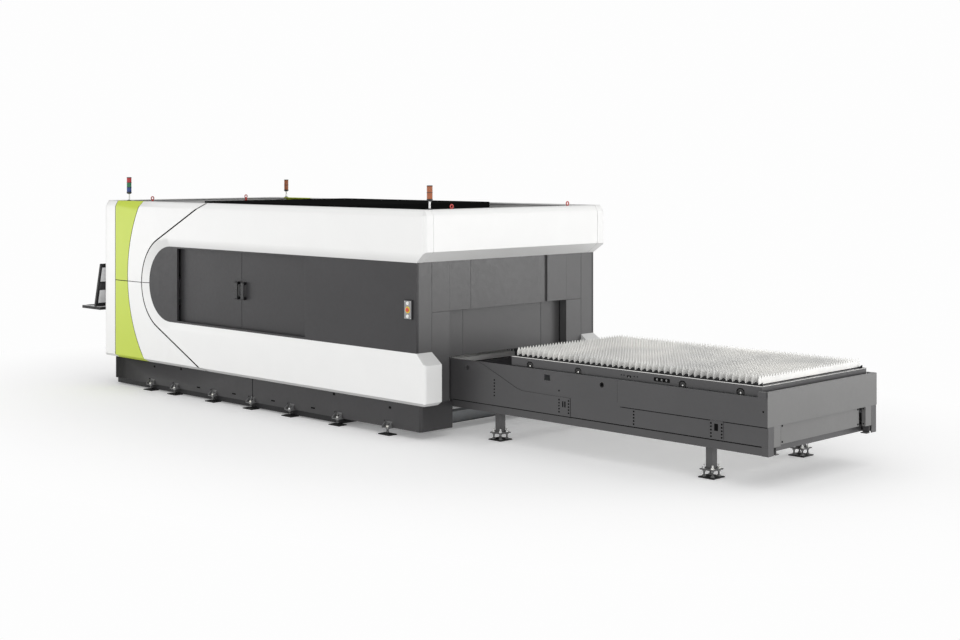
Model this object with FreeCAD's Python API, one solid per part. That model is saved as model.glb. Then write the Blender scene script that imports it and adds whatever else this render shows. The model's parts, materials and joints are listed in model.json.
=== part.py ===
import FreeCAD, Part
import math
import os

# Sheet-cutting machine with a closed cabin and a two-level pallet table.
# Millimetres, +Z up.  The origin lies on the floor under the middle of the
# outer box.  -Y is the operator's long side, +X is the end with the table.
# Places along X marked "from the wall" are measured from the end wall, and
# those marked "from the left" from the operator end of the cabin.

# ---- cabin -------------------------------------------------------------------
CABIN_LENGTH = 6100        # operator end to end wall
CONSOLE_REACH = 484        # console tray beyond the operator end
TABLE_LENGTH = 4000        # table beyond the end wall
TABLE_HALF = 910           # half width over the table's side plates
SHELL_BEYOND_TABLE = 530   # white shell beyond the table's side plates
SHELL_DEPTH = 30           # white shell proud of the dark walls
WALL = 30                  # thickness of the dark walls
END_OVERHANG = 152         # white shell beyond the end wall
TOP_Z = 2405               # top of the white shell
CHAMFER_DROP = 75          # height of the chamfer round the top
CHAMFER_DEPTH = 40
WINDOW_LOW = 906           # dark window of the side, lower and upper edge
WINDOW_HIGH = 1850
BEVEL_RISE = 115           # height of the white bevel round the window
SHELL_FOOT = 360           # lower edge of the white shell
FOOT_BEVEL_RISE = 40
FOOT_BEVEL_DEPTH = 60
END_CORNER_RADIUS = 150    # tall corners at the operator end
NEAR_CORNER_RADIUS = 45    # tall corners at the table end
COLUMN_RETURN = 275        # corner column wraps the operator end by this much
SKIRT_RETURN = 250         # lower shell wraps the table end by this much
BAND_RETURN = 130          # upper side shell wraps the table end by this much
ROOF_FLANGE = 120          # width of the flange round the roof
FLANGE_THICKNESS = 12
DECK_GAP = 15              # roof deck to the shell round it
DECK_THICKNESS = 12
COVER_START = -4180        # raised roof covers, from the wall
COVER_END = -1430
COVER_HALF = 1140
COVER_COUNT = 2
COVER_RISE = 15            # covers above the top of the shell
SHARP_RADIUS = 1           # smallest corner of an inner outline

# ---- seams of the white and lime panels --------------------------------------
COLUMN_SEAM = 347          # corner column to lime strip, from the left
MID_SEAM_Z = 1371
FINE_SEAM = 8
BOLD_SEAM = 18
LIME_ARC_X = 2286          # centre of the arc that ends the lime strip, from the left
LIME_ARC_Z = 1450
LIME_ARC_RADIUS = 1650
SWEEP_X = 1566             # centre of the round end of the window, from the left
SWEEP_RADIUS = 593
SWEEP_ANGLE = 25.3         # slope of the seam where it leaves the round end

# ---- dark walls ----------------------------------------------------------------
WALL_LAP = 57              # walls behind the edge of the window
REAR_PANELS = 3
SEAM_DEPTH = 4             # depth of a joint line
HEADER_SEAM_Y = -614       # fine joint line over the doorway
GROOVE_Y = 587             # deep groove over the doorway
GROOVE_WIDTH = 48
GROOVE_DEPTH = 24

# ---- sliding front doors ---------------------------------------------------------
OPENING_LEFT = 1716        # from the left
OPENING_RIGHT = -1850      # from the wall
OPENING_LOW = 930
OPENING_HIGH = 1830
LEAF_INSET = 60            # leaf face behind the wall face
LEAF_THICKNESS = 40
LEAF_SKIN = 10
LEAF_RIM = 60
LEAF_LAP = 15              # leaf behind the edge of the opening
LEAF_GAP = 5               # between the two leaves
LEAF_TRAVEL = 1100
LEAF_ROOM = 10             # open leaf to the post behind it
TRACK_HEIGHT = 15
HANDLE_LENGTH = 212
HANDLE_WIDTH = 60
HANDLE_DEPTH = 45
HANDLE_FOOT = 35
HANDLE_BAR = 15
HANDLE_EDGE = 30           # handle to the meeting edge of its leaf

# ---- plinth, frame and bed -------------------------------------------------------
TUBE = 60                  # square tube of the frames
PLINTH_SETBACK = 80        # plinth behind the white shell
PLINTH_GAP = 5             # plinth to the folded foot of the shell
PLINTH_THICKNESS = 15
PLINTH_PROUD = 16          # plinth beyond the end wall
PLINTH_CORNER = 25
PLINTH_LOW = 80
PLINTH_HIGH = 420
PLINTH_INSET = 241         # plinth behind the operator end
PLINTH_SEAM_X = -2893      # from the wall
PLINTH_SLOTS = (-3993, -3260, -2500, -1766)
PLINTH_SLOT_Z = 138
PLINTH_SLOT = (70, 16)
SKID_END = -1292           # ground rails under the plinth, from the wall
SKID_SETBACK = 10          # ground rail behind the base rail
SKID_LOW = 16
FOOT_PLACES = (-5026, -4491, -3676, -2912, -2170, -1325, -498)
FOOT_PROUD = 8             # foot beyond the face of the plinth
FOOT_BRACKET_THICKNESS = 10
FOOT_BRACKET_REACH = 36    # bracket beyond the middle of its foot
FOOT_NOTCH = 130           # notch of the plinth round a bracket
FOOT_NOTCH_HEIGHT = 66
GUSSET_THICKNESS = 8
GUSSET_HEIGHT = 62
GUSSET_LIP = 12            # height of a gusset at its outer end
PAD_LENGTH = 180
PAD_WIDTH = 120
PAD_HEIGHT = 14
JACK_RADIUS = 14           # across the corners of the hexagon
WAIST_DROP = 66            # waist rail below the window
BULKHEAD_X = 1020          # wall between cutting room and cabinet, from the left
BED_GAP = 15               # bed to the base rails
BED_WIDTH = 180            # width of each long beam of the bed
BED_END_GAP = 60           # bed to the end door's guides
BED_TOP = 1060
BED_CROSS = 120
BED_CROSS_COUNT = 5
RAIL_WIDTH = 45
RAIL_HEIGHT = 40
RACK_WIDTH = 22
RACK_HEIGHT = 20
LASER_HEIGHT = 900
CABINET_HEIGHT = 1700
CLEARANCE = 0.3            # between sliding faces
RUNNING_FIT = 0.06         # round a shaft or pin

# ---- gantry and cutting head -------------------------------------------------------
GANTRY_PARK = 80           # parked gantry to the bulkhead
GANTRY_DEPTH = 260
GANTRY_LIFT = 60           # beam above the top of the long rails
GANTRY_HEIGHT = 270
GANTRY_EDGE = 45           # end of the beam inside the bed's outer face
SKATE_LENGTH = 120
CROSS_RAIL = 40
CROSS_RAIL_DEPTH = 20
CARRIAGE_Y = -700
CARRIAGE_WIDTH = 220
CARRIAGE_DEPTH = 70
CARRIAGE_ABOVE = 120       # carriage above the beam
SLIDE_WIDTH = 100
SLIDE_DEPTH = 60
SLIDE_HEIGHT = 360
SLIDE_ABOVE = 180          # slide above the beam
HEAD_LOW = 1130            # tip of the nozzle, raised
HEAD_RADIUS = 45
HEAD_STANDOFF = 50         # middle of the head in front of its slide
HEAD_BODY = 300
NECK_RADIUS = 27
NECK_LENGTH = 60
NOZZLE_LENGTH = 60
NOZZLE_TIP = 5
NOZZLE_TOP = 22
SADDLE_HEIGHT = 180

# ---- table ---------------------------------------------------------------------------
TABLE_SKIN = 10
TABLE_LOW = 390
TABLE_HIGH = 820
GUARD_START = 2296         # from the wall
GUARD_LOW = 565
GUARD_HIGH = 872
GUARD_RADIUS = 40
SWOOP_SKIN = 5
SWOOP_END = 1690           # from the wall
SWOOP_EDGE = ((420, 816), (500, 790), (960, 600), (1040, 580))    # from the wall, height
SWOOP_LOW_EDGE = 573       # height of its level upper edge
SIDE_HOLES = ((252, 741), (2092, 746))
SIDE_HOLE_RADIUS = 26
SIDE_WINDOW = (1380, 745)
SIDE_WINDOW_SIZE = (80, 60)
FLANGE_LOW = 305
FLANGE_WIDTH = 60
END_POST = 84
END_PLATE_INSET = 90
LEG_PLACES = (566, 3266)   # from the wall
LEG_Y = 740
LEG_TUBE = 75
LEG_FLANGE = 160
LEG_PLATE = 180
LEG_PLATE_THICKNESS = 12
LEG_JACK_HEIGHT = 60
LEG_JACK_RADIUS = 12       # across the corners of the hexagon
LEG_JACK_PITCH = 96
LEG_HOLE_OUT = 68          # floor bolt from the middle of its leg
LEG_HOLE_RADIUS = 7

# ---- end door --------------------------------------------------------------------------
DOORWAY_GAP = 23           # table's side plates to the doorway's sides
DOORWAY_TOP = 1322
DOOR_RECESS = 115
DOOR_LOW = 815
DOOR_HEIGHT = 530
DOOR_THICKNESS = 30
DOOR_SEAM_Y = 620
DOOR_EDGE = 22             # door edge inside its guide
GUIDE_WIDTH = 52
GUIDE_WALL = 16

# ---- pallets ------------------------------------------------------------------------
PALLET_LENGTH = 3050
PALLET_END_GAP = 88        # upper pallet to the end of the table
PALLET_SIDE_GAP = 20       # pallet to the table's side plates
PALLET_BEAM = 60
PALLET_HEIGHT = 90
PALLET_CROSS_COUNT = 5
UPPER_TRACK_Z = 800
LOWER_TRACK_Z = 500
TRACK_THICKNESS = 10
TRACK_WIDTH = 110
TRACK_BRACKETS = 4
FRAME_ABOVE_TRACK = 22
PALLET_TRAVEL = 4600
WHEEL_RADIUS = 35          # stud rollers screwed into the beams
WHEEL_WIDTH = 32
WHEEL_ROOM = 8
WHEEL_SETBACK = 2          # roller inside the pallet's outer face
NOTCH_CORNER = 22          # slanted upper corners of a roller's notch
INNER_WHEELS = (255, 900)  # from the pallet's inner end
OUTER_WHEELS = (228, 873)  # from the pallet's outer end
SLAT_PITCH = 70
SLAT_MARGIN = 50           # least space from a slat to the pallet's end
SLAT_THICKNESS = 4
SLAT_INSET = 30            # slat end to the pallet's outer face
SLAT_RISE = 92             # tips above the pallet frame
TOOTH_DEPTH = 34
TOOTH_PITCH = 400
COMB_FLOOR = 10            # underside of the slats above the pallet frame
COMB_HEIGHT = 30           # crests of the comb between the slats
COMB_THICKNESS = 8
COMB_INSET = 38            # comb to the pallet's outer face

# ---- drive of the pallets ---------------------------------------------------------------
SHAFT_SETBACK = 180        # cross shaft to the end of the table
SHAFT_Z = 440
SHAFT_RADIUS = 15
SPROCKET_RADIUS = 38
SPROCKET_WIDTH = 16
SPROCKET_INSET = 60
BEARING_WIDTH = 16
SHELF_DROP = 72            # motor shelf below the shaft
SHELF_LENGTH = 360
GEARBOX_LENGTH = 120
GEARBOX_RISE = 42
GEARBOX_Y = 60
MOTOR_RADIUS = 54
MOTOR_LENGTH = 240
MOTOR_DROP = 12

# ---- lamps, eyes and controls -------------------------------------------------------------
LAMP_RADIUS = 32
LAMP_POLE_RADIUS = 12
LAMP_CUP = 24
LAMP_SIDES = (-1, 1, -1)   # long side of each lamp
LAMP_COUNTS = (3, 2, 2)    # lenses of each lamp
# place from its end of the cabin, in from the outer face, height of a lens, pole
LAMP_SPOTS = ((553, 75, 64, 91), (343, 75, 72, 88), (84, 140, 72, 85))
ROUND_SIDES = 10           # faces of small round bars
EYE_OUTER = 29
EYE_INNER = 15
EYE_WIDTH = 14
EYE_SIDES = 8
EYE_HANDS = (-1, 1)        # long side of each eye of a pair
EYE_COLLAR_RADIUS = 16
EYE_COLLAR = 12
DECK_EYES = ((498, 465), (357, 796))    # from the left, in from the outer face
FLANGE_EYES = ((70, 472), (84, 581))    # from the wall, in from the outer face
BOX_X = -115               # from the wall
BOX_WIDTH = 122
BOX_LOW = 1254
BOX_HEIGHT = 206
BOX_DEPTH = 18
BUTTON_RADIUS = 17
BUTTON_STEM = 8
BUTTON_PITCH = 68
BUTTON_TRAVEL = 4
BUTTON_CAP = 7
SOCKET_DEPTH = 14
ESTOP_RADIUS = 22
CONSOLE_INSET = 210        # middle of the tray to the shell's outer face
CONSOLE_Z = 950
TRAY_HALF = 210
TRAY_THICKNESS = 38
TRAY_WALL_GAP = 36
SCREEN_HEIGHT = 572
SCREEN_THICKNESS = 45
SCREEN_HALF = 198
SCREEN_WALL_GAP = 18
SCREEN_LEAN = 14           # degrees
ARM_RADIUS = 22
ARM_HEIGHT = 50
ARM_LENGTH = 90
LUG_RADIUS = 33
LUG_HEIGHT = 30
PIN_RADIUS = 11
PIN_OUT = 45               # swing pin to the operator end
PIN_TRAY_GAP = 15          # lugs to the tray

# ---- places that follow from the sizes above -----------------------------------------------
HALF_SHELL = TABLE_HALF + SHELL_BEYOND_TABLE
WALL_X = (CONSOLE_REACH + CABIN_LENGTH - TABLE_LENGTH) / 2
LEFT_X = WALL_X - CABIN_LENGTH
SHELL_END_X = WALL_X + END_OVERHANG
TABLE_END_X = WALL_X + TABLE_LENGTH
LAMP_ENDS = (LEFT_X, LEFT_X, WALL_X)    # end of the cabin beside each lamp
HALF_WALL = HALF_SHELL - SHELL_DEPTH
ROOM_HALF = HALF_WALL - WALL
ROOM_TOP = TOP_Z - CHAMFER_DROP
WINDOW_MID = (WINDOW_LOW + WINDOW_HIGH) / 2
WINDOW_RADIUS = (WINDOW_HIGH - WINDOW_LOW) / 2
PLINTH_HALF = HALF_SHELL - PLINTH_SETBACK
PLINTH_X = LEFT_X + PLINTH_INSET
BASE_HALF = PLINTH_HALF - PLINTH_THICKNESS
FOOT_Y = PLINTH_HALF + FOOT_PROUD
BULKHEAD = LEFT_X + BULKHEAD_X
BULKHEAD_HALF = HALF_WALL - LEAF_INSET - LEAF_THICKNESS - LEAF_ROOM - TUBE
BED_OUTER = BASE_HALF - TUBE - BED_GAP
BED_INNER = BED_OUTER - BED_WIDTH
DOORWAY_HALF = TABLE_HALF + DOORWAY_GAP
DOOR_X = WALL_X - DOOR_RECESS
GUIDE_X = DOOR_X - DOOR_THICKNESS - GUIDE_WALL
BED_END_X = GUIDE_X - BED_END_GAP + GUIDE_WALL
RAIL_Y = (BED_INNER + BED_OUTER) / 2
RAIL_TOP = BED_TOP + RAIL_HEIGHT
GANTRY_X = BULKHEAD + GANTRY_PARK
BEAM_LOW = RAIL_TOP + GANTRY_LIFT
BEAM_HIGH = BEAM_LOW + GANTRY_HEIGHT
PALLET_HALF = TABLE_HALF - TABLE_SKIN - PALLET_SIDE_GAP
PALLET_X = TABLE_END_X - PALLET_END_GAP - PALLET_LENGTH
SLAT_COUNT = int((PALLET_LENGTH - 2 * SLAT_MARGIN) / SLAT_PITCH) + 1
FIRST_SLAT = (PALLET_LENGTH - (SLAT_COUNT - 1) * SLAT_PITCH) / 2
SHAFT_X = TABLE_END_X - SHAFT_SETBACK
SHAFT_HALF = TABLE_HALF - TABLE_SKIN - FLANGE_WIDTH - FINE_SEAM
CONSOLE_Y = CONSOLE_INSET - HALF_SHELL
PIN_X = LEFT_X - PIN_OUT
PIN_Y = CONSOLE_Y + TRAY_HALF
AXIS_X = FreeCAD.Vector(1, 0, 0)
AXIS_Y = FreeCAD.Vector(0, 1, 0)
AXIS_Z = FreeCAD.Vector(0, 0, 1)


# ---- helpers -----------------------------------------------------------------------
def block(x0, x1, y0, y1, z0, z1):
    """Box between two corners."""
    return Part.makeBox(x1 - x0, y1 - y0, z1 - z0, FreeCAD.Vector(x0, y0, z0))


def rod(radius, length, base, axis):
    """Cylinder from a base point along an axis."""
    return Part.makeCylinder(radius, length, FreeCAD.Vector(*base), axis)


def prism(wire, height):
    """Closed level outline drawn upwards."""
    return Part.Face(wire).extrude(FreeCAD.Vector(0, 0, height))


def sided_corners(radius, base, axis):
    """Corners of a regular outline, its sides at the radius, square to an axis."""
    angles = [math.tau * (index + 0.5) / ROUND_SIDES for index in range(ROUND_SIDES)]
    reach = radius / math.cos(math.pi / ROUND_SIDES)
    side = axis.cross(AXIS_X) if axis.z else AXIS_Z
    other = axis.cross(side)
    centre = FreeCAD.Vector(*base)
    return [centre + side * (reach * math.cos(a)) + other * (reach * math.sin(a)) for a in angles]


def many_sided(radius, length, base, axis):
    """Small round bar with flat faces round it, along the X, Y or Z axis."""
    corners = sided_corners(radius, base, axis)
    return Part.Face(Part.makePolygon(corners + corners[:1])).extrude(axis * length)


def tapered(low_radius, high_radius, length, base):
    """Small upright taper with flat faces round it."""
    x, y, z = base
    low = sided_corners(low_radius, base, AXIS_Z)
    high = sided_corners(high_radius, (x, y, z + length), AXIS_Z)
    outlines = [low, high]
    for index in range(ROUND_SIDES):
        after = (index + 1) % ROUND_SIDES
        outlines.append([low[index], low[after], high[after], high[index]])
    faces = [Part.Face(Part.makePolygon(corners + corners[:1])) for corners in outlines]
    return Part.Solid(Part.Shell(faces))


def hexagon_bar(radius, height, x, y, z):
    """Upright hexagon bar, radius across its corners."""
    angles = [math.radians(60 * index) for index in range(6)]
    corners = [FreeCAD.Vector(x + radius * math.cos(a), y + radius * math.sin(a), z) for a in angles]
    return prism(Part.makePolygon(corners + corners[:1]), height)


def plate_xz(points, y0, y1):
    """Outline in the XZ plane, drawn out from y0 to y1."""
    corners = [FreeCAD.Vector(x, y0, z) for x, z in points]
    face = Part.Face(Part.makePolygon(corners + corners[:1]))
    return face.extrude(FreeCAD.Vector(0, y1 - y0, 0))


def plate_yz(points, x0, x1):
    """Outline in the YZ plane, drawn out from x0 to x1."""
    corners = [FreeCAD.Vector(x0, y, z) for y, z in points]
    face = Part.Face(Part.makePolygon(corners + corners[:1]))
    return face.extrude(FreeCAD.Vector(x1 - x0, 0, 0))


def join(shapes):
    """One solid from touching pieces of the same part."""
    return shapes[0].multiFuse(shapes[1:]).removeSplitter()


def mirrored(shape):
    """The same piece on the other long side."""
    return shape.mirror(FreeCAD.Vector(0, 0, 0), AXIS_Y)


def both_sides(shapes):
    """Pieces of one side and their mirror images."""
    return list(shapes) + [mirrored(shape) for shape in shapes]


def largest(shape):
    """The main solid of a cut, without thin offcuts."""
    return max(shape.Solids, key=lambda solid: solid.Volume)


def save(name, shape):
    """Write one node, a solid or a group of separate solids."""
    if isinstance(shape, list):
        shape = shape[0] if len(shape) == 1 else Part.makeCompound(shape)
    shape.exportStep("parts/" + name + ".step")


# ---- white and lime shell ------------------------------------------------------------
def plan_wire(inset, z):
    """Outline of the cabin seen from above, drawn in by inset, at height z."""
    x0 = LEFT_X + inset
    x1 = SHELL_END_X - inset
    y1 = HALF_SHELL - inset
    r0 = max(END_CORNER_RADIUS - inset, SHARP_RADIUS)
    r1 = max(NEAR_CORNER_RADIUS - inset, SHARP_RADIUS)
    corners = ((x0, -y1, r0, 1, 1), (x0, y1, r0, 1, -1), (x1, y1, r1, -1, -1), (x1, -y1, r1, -1, 1))
    slope = 1 - math.sqrt(0.5)
    ends = []
    for x, y, r, sx, sy in corners:
        along_y = FreeCAD.Vector(x, y + sy * r, z)
        middle = FreeCAD.Vector(x + sx * r * slope, y + sy * r * slope, z)
        along_x = FreeCAD.Vector(x + sx * r, y, z)
        ends.append((along_y, middle, along_x))
    ends[0] = ends[0][::-1]
    ends[2] = ends[2][::-1]
    edges = []
    for index, (first, middle, last) in enumerate(ends):
        edges.append(Part.Arc(first, middle, last).toShape())
        following = ends[(index + 1) % len(ends)][0]
        edges.append(Part.LineSegment(last, following).toShape())
    return Part.Wire(edges)


def window_wire(radius, y):
    """Outline of the side window: round end, open past the table end."""
    right = SHELL_END_X + END_OVERHANG
    centre = LEFT_X + SWEEP_X
    top = FreeCAD.Vector(centre, y, WINDOW_MID + radius)
    left = FreeCAD.Vector(centre - radius, y, WINDOW_MID)
    low = FreeCAD.Vector(centre, y, WINDOW_MID - radius)
    far_low = FreeCAD.Vector(right, y, WINDOW_MID - radius)
    far_top = FreeCAD.Vector(right, y, WINDOW_MID + radius)
    edges = [Part.Arc(top, left, low).toShape()]
    edges.append(Part.LineSegment(low, far_low).toShape())
    edges.append(Part.LineSegment(far_low, far_top).toShape())
    edges.append(Part.LineSegment(far_top, top).toShape())
    return Part.Wire(edges)


def side_window_tool():
    """Room for the dark window of the front, widening outwards."""
    outer = window_wire(WINDOW_RADIUS + BEVEL_RISE, -HALF_SHELL)
    inner = window_wire(WINDOW_RADIUS, -HALF_WALL)
    return Part.makeLoft([outer, inner], True, True)


def end_recess_tool():
    """Room for the dark end wall under the overhanging band."""
    low, high = WINDOW_LOW, WINDOW_HIGH
    outline = [(WALL_X, low), (SHELL_END_X, low - BEVEL_RISE)]
    outline += [(SHELL_END_X, high + BEVEL_RISE), (WALL_X, high)]
    recess = plate_xz(outline, -HALF_SHELL, HALF_SHELL)
    gap_half = HALF_SHELL - SKIRT_RETURN
    between = block(WALL_X, SHELL_END_X, -gap_half, gap_half, SHELL_FOOT, WINDOW_LOW)
    return join([recess, between])


def foot_bevel_tools():
    """Slanted lower edge of the front shell and of its return at the table end."""
    y0 = -HALF_SHELL
    x1 = SHELL_END_X
    high = SHELL_FOOT + FOOT_BEVEL_RISE
    side = plate_yz([(y0, high), (y0 + FOOT_BEVEL_DEPTH, SHELL_FOOT), (y0, SHELL_FOOT)], LEFT_X, x1)
    end = plate_xz([(x1, high), (x1 - FOOT_BEVEL_DEPTH, SHELL_FOOT), (x1, SHELL_FOOT)], y0, 0)
    return [side, end]


def inner_room():
    """Space inside the shell, with the folded foot and the roof flange left on."""
    foot_top = SHELL_FOOT + FOOT_BEVEL_RISE
    under_roof = TOP_Z - FLANGE_THICKNESS
    foot = prism(plan_wire(PLINTH_SETBACK - PLINTH_GAP, SHELL_FOOT), FOOT_BEVEL_RISE)
    room = prism(plan_wire(SHELL_DEPTH, foot_top), ROOM_TOP - foot_top)
    attic = prism(plan_wire(CHAMFER_DEPTH + SHELL_DEPTH, ROOM_TOP), under_roof - ROOM_TOP)
    cabin = block(LEFT_X, WALL_X, -HALF_SHELL, HALF_SHELL, SHELL_FOOT, TOP_Z)
    return [space.common(cabin) for space in (foot, room, attic)]


def whole_shell():
    """All white and lime panels of the cabin before they are parted."""
    body = prism(plan_wire(0, SHELL_FOOT), ROOM_TOP - SHELL_FOOT)
    crown = Part.makeLoft([plan_wire(0, ROOM_TOP), plan_wire(CHAMFER_DEPTH, TOP_Z)], True, True)
    half = HALF_SHELL - ROOF_FLANGE
    x0 = LEFT_X + ROOF_FLANGE
    hatch = block(x0, SHELL_END_X - ROOF_FLANGE, -half, half, TOP_Z - FLANGE_THICKNESS, TOP_Z)
    one_side = [side_window_tool()] + foot_bevel_tools()
    tools = inner_room() + [hatch, end_recess_tool()] + both_sides(one_side)
    return join([body, crown]).cut(tools)


def sweep_region(grow):
    """Everything to the right of the bold seam, grown to the left by grow."""
    radius = SWEEP_RADIUS + grow
    slope = math.radians(SWEEP_ANGLE)
    centre = LEFT_X + SWEEP_X
    y0 = -HALF_SHELL
    touch_x = centre - radius * math.sin(slope)
    rise = radius * math.cos(slope)
    reach = TOP_Z - WINDOW_MID
    far_x = touch_x + (reach - rise) / math.tan(slope)
    top_right = FreeCAD.Vector(SHELL_END_X, y0, WINDOW_MID + reach)
    top_left = FreeCAD.Vector(far_x, y0, WINDOW_MID + reach)
    touch = FreeCAD.Vector(touch_x, y0, WINDOW_MID + rise)
    left = FreeCAD.Vector(centre - radius, y0, WINDOW_MID)
    below = FreeCAD.Vector(touch_x, y0, WINDOW_MID - rise)
    low_left = FreeCAD.Vector(far_x, y0, WINDOW_MID - reach)
    low_right = FreeCAD.Vector(SHELL_END_X, y0, WINDOW_MID - reach)
    edges = [Part.LineSegment(top_right, top_left).toShape()]
    edges.append(Part.LineSegment(top_left, touch).toShape())
    edges.append(Part.Arc(touch, left, below).toShape())
    edges.append(Part.LineSegment(below, low_left).toShape())
    edges.append(Part.LineSegment(low_left, low_right).toShape())
    edges.append(Part.LineSegment(low_right, top_right).toShape())
    return Part.Face(Part.Wire(edges)).extrude(FreeCAD.Vector(0, HALF_SHELL, 0))


def lime_arc_region(grow):
    """Round region whose left edge parts the lime strip from the white."""
    base = (LEFT_X + LIME_ARC_X, -HALF_SHELL, LIME_ARC_Z)
    return rod(LIME_ARC_RADIUS + grow, HALF_SHELL, base, AXIS_Y)


def halves(panel):
    """A panel parted along the level seam, upper piece first."""
    half_seam = FINE_SEAM / 2
    upper = block(LEFT_X, SHELL_END_X, -HALF_SHELL, 0, MID_SEAM_Z + half_seam, TOP_Z)
    lower = block(LEFT_X, SHELL_END_X, -HALF_SHELL, 0, SHELL_FOOT, MID_SEAM_Z - half_seam)
    return [largest(panel.common(upper)), largest(panel.common(lower))]


def build_side_panels(shell):
    """Corner column, lime strip, shoulder and long shell of both sides."""
    seam_x = LEFT_X + COLUMN_SEAM
    column_back = COLUMN_RETURN - HALF_SHELL
    column_room = block(LEFT_X, seam_x - FINE_SEAM, -HALF_SHELL, column_back, SHELL_FOOT, TOP_Z)
    save("corner_columns", both_sides([largest(shell.common(column_room))]))
    rest = shell.common(block(seam_x, SHELL_END_X, -HALF_SHELL, 0, SHELL_FOOT, TOP_Z))
    left_half = block(seam_x, LEFT_X + LIME_ARC_X, -HALF_SHELL, 0, SHELL_FOOT, TOP_Z)
    lime = rest.cut(lime_arc_region(FINE_SEAM / 2)).common(left_half)
    save("lime_strip_panels", both_sides(halves(lime)))
    shoulder = rest.common(lime_arc_region(-FINE_SEAM / 2)).cut(sweep_region(BOLD_SEAM))
    save("shoulder_panels", both_sides(halves(shoulder)))
    wrap = block(LEFT_X, SHELL_END_X, BAND_RETURN - HALF_SHELL, 0, WINDOW_MID, TOP_Z)
    side = largest(rest.common(sweep_region(0)).cut(wrap))
    save("front_side_shell", side)
    save("rear_side_shell", mirrored(side))


def build_shell():
    """All panels of the white and lime shell."""
    shell = whole_shell()
    build_side_panels(shell)
    half = HALF_SHELL - BAND_RETURN - FINE_SEAM / 2
    band_room = block(WALL_X - ROOF_FLANGE, SHELL_END_X, -half, half, WINDOW_MID, TOP_Z)
    save("end_upper_band", largest(shell.common(band_room)))
    half = HALF_SHELL - COLUMN_RETURN - FINE_SEAM
    end_room = block(LEFT_X, LEFT_X + ROOF_FLANGE, -half, half, SHELL_FOOT, TOP_Z)
    save("operator_end_panel", largest(shell.common(end_room)))


# ---- dark walls --------------------------------------------------------------------------
def seam_groove(y, width, depth, z0, z1):
    """Upright joint line cut into the outer face of the end wall."""
    return block(WALL_X - depth, WALL_X, y - width / 2, y + width / 2, z0, z1)


def build_side_walls():
    """Dark panels behind the window of each long side."""
    y0, y1 = -HALF_WALL, -ROOM_HALF
    left = LEFT_X + OPENING_LEFT
    right = WALL_X + OPENING_RIGHT
    low, high = WINDOW_LOW - WALL_LAP, WINDOW_HIGH + WALL_LAP
    straight_x = LEFT_X + END_CORNER_RADIUS
    save("front_pocket_panel", block(straight_x, left, y0, y1, PLINTH_HIGH, ROOM_TOP))
    save("front_fixed_panel", block(right, WALL_X, y0, y1, low, high))
    header = block(left, right, y0, y1, OPENING_HIGH, high)
    sill = block(left, right, y0, y1, low, OPENING_LOW)
    save("front_door_frame", [header, sill] + door_tracks())
    bay = (WALL_X - BULKHEAD) / REAR_PANELS
    panels = [block(straight_x, BULKHEAD, -y1, -y0, PLINTH_HIGH, ROOM_TOP)]
    for index in range(REAR_PANELS):
        x1 = WALL_X - index * bay
        panels.append(block(x1 - bay + FINE_SEAM, x1, -y1, -y0, low, high))
    save("rear_wall_panels", panels)


def build_end_walls():
    """Dark end wall round the doorway of the pallets."""
    x0 = WALL_X - WALL
    inner = -DOORWAY_HALF
    plate = block(x0, WALL_X, -ROOM_HALF, inner, SHELL_FOOT, ROOM_TOP)
    jamb = block(DOOR_X + GUIDE_WALL, WALL_X, inner - WALL, inner, SHELL_FOOT, ROOM_TOP - TUBE)
    corner_y = SKIRT_RETURN - HALF_SHELL
    upright = seam_groove(corner_y, SEAM_DEPTH, SEAM_DEPTH, SHELL_FOOT, WINDOW_HIGH)
    level = block(WALL_X - SEAM_DEPTH, WALL_X, corner_y, inner, DOORWAY_TOP - SEAM_DEPTH, DOORWAY_TOP)
    foot_room = block(x0, WALL_X, -ROOM_HALF, -BASE_HALF, SHELL_FOOT, PLINTH_HIGH)
    side = join([plate, jamb]).cut([upright, level, foot_room])
    save("end_wall_sides", both_sides([side]))
    header = block(x0, WALL_X, -DOORWAY_HALF, DOORWAY_HALF, DOORWAY_TOP, ROOM_TOP)
    fine = seam_groove(HEADER_SEAM_Y, SEAM_DEPTH, SEAM_DEPTH, DOORWAY_TOP, WINDOW_HIGH)
    deep = seam_groove(GROOVE_Y, GROOVE_WIDTH, GROOVE_DEPTH, DOORWAY_TOP, WINDOW_HIGH)
    save("end_wall_header", header.cut([fine, deep]))


def build_end_door():
    """Lifting door over the table and its two guides."""
    x1 = DOOR_X
    x0 = x1 - DOOR_THICKNESS
    half = DOORWAY_HALF + DOOR_EDGE
    high = DOOR_LOW + DOOR_HEIGHT
    panel = block(x0, x1, -half, half, DOOR_LOW, high)
    groove = block(x1 - SEAM_DEPTH, x1, -DOOR_SEAM_Y - FINE_SEAM, -DOOR_SEAM_Y, DOOR_LOW, high)
    save("end_door", panel.cut(both_sides([groove])))
    inner = -DOORWAY_HALF
    low, high = PLINTH_HIGH, ROOM_TOP
    guide = [block(GUIDE_X, x1 + GUIDE_WALL, inner - GUIDE_WIDTH, inner - DOOR_EDGE - CLEARANCE, low, high)]
    guide.append(block(GUIDE_X, x0 - CLEARANCE, inner - DOOR_EDGE - CLEARANCE, inner, low, high))
    guide.append(block(x1 + CLEARANCE, x1 + GUIDE_WALL, inner - DOOR_EDGE - CLEARANCE, inner, low, high))
    save("end_door_guides", both_sides(guide))


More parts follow.
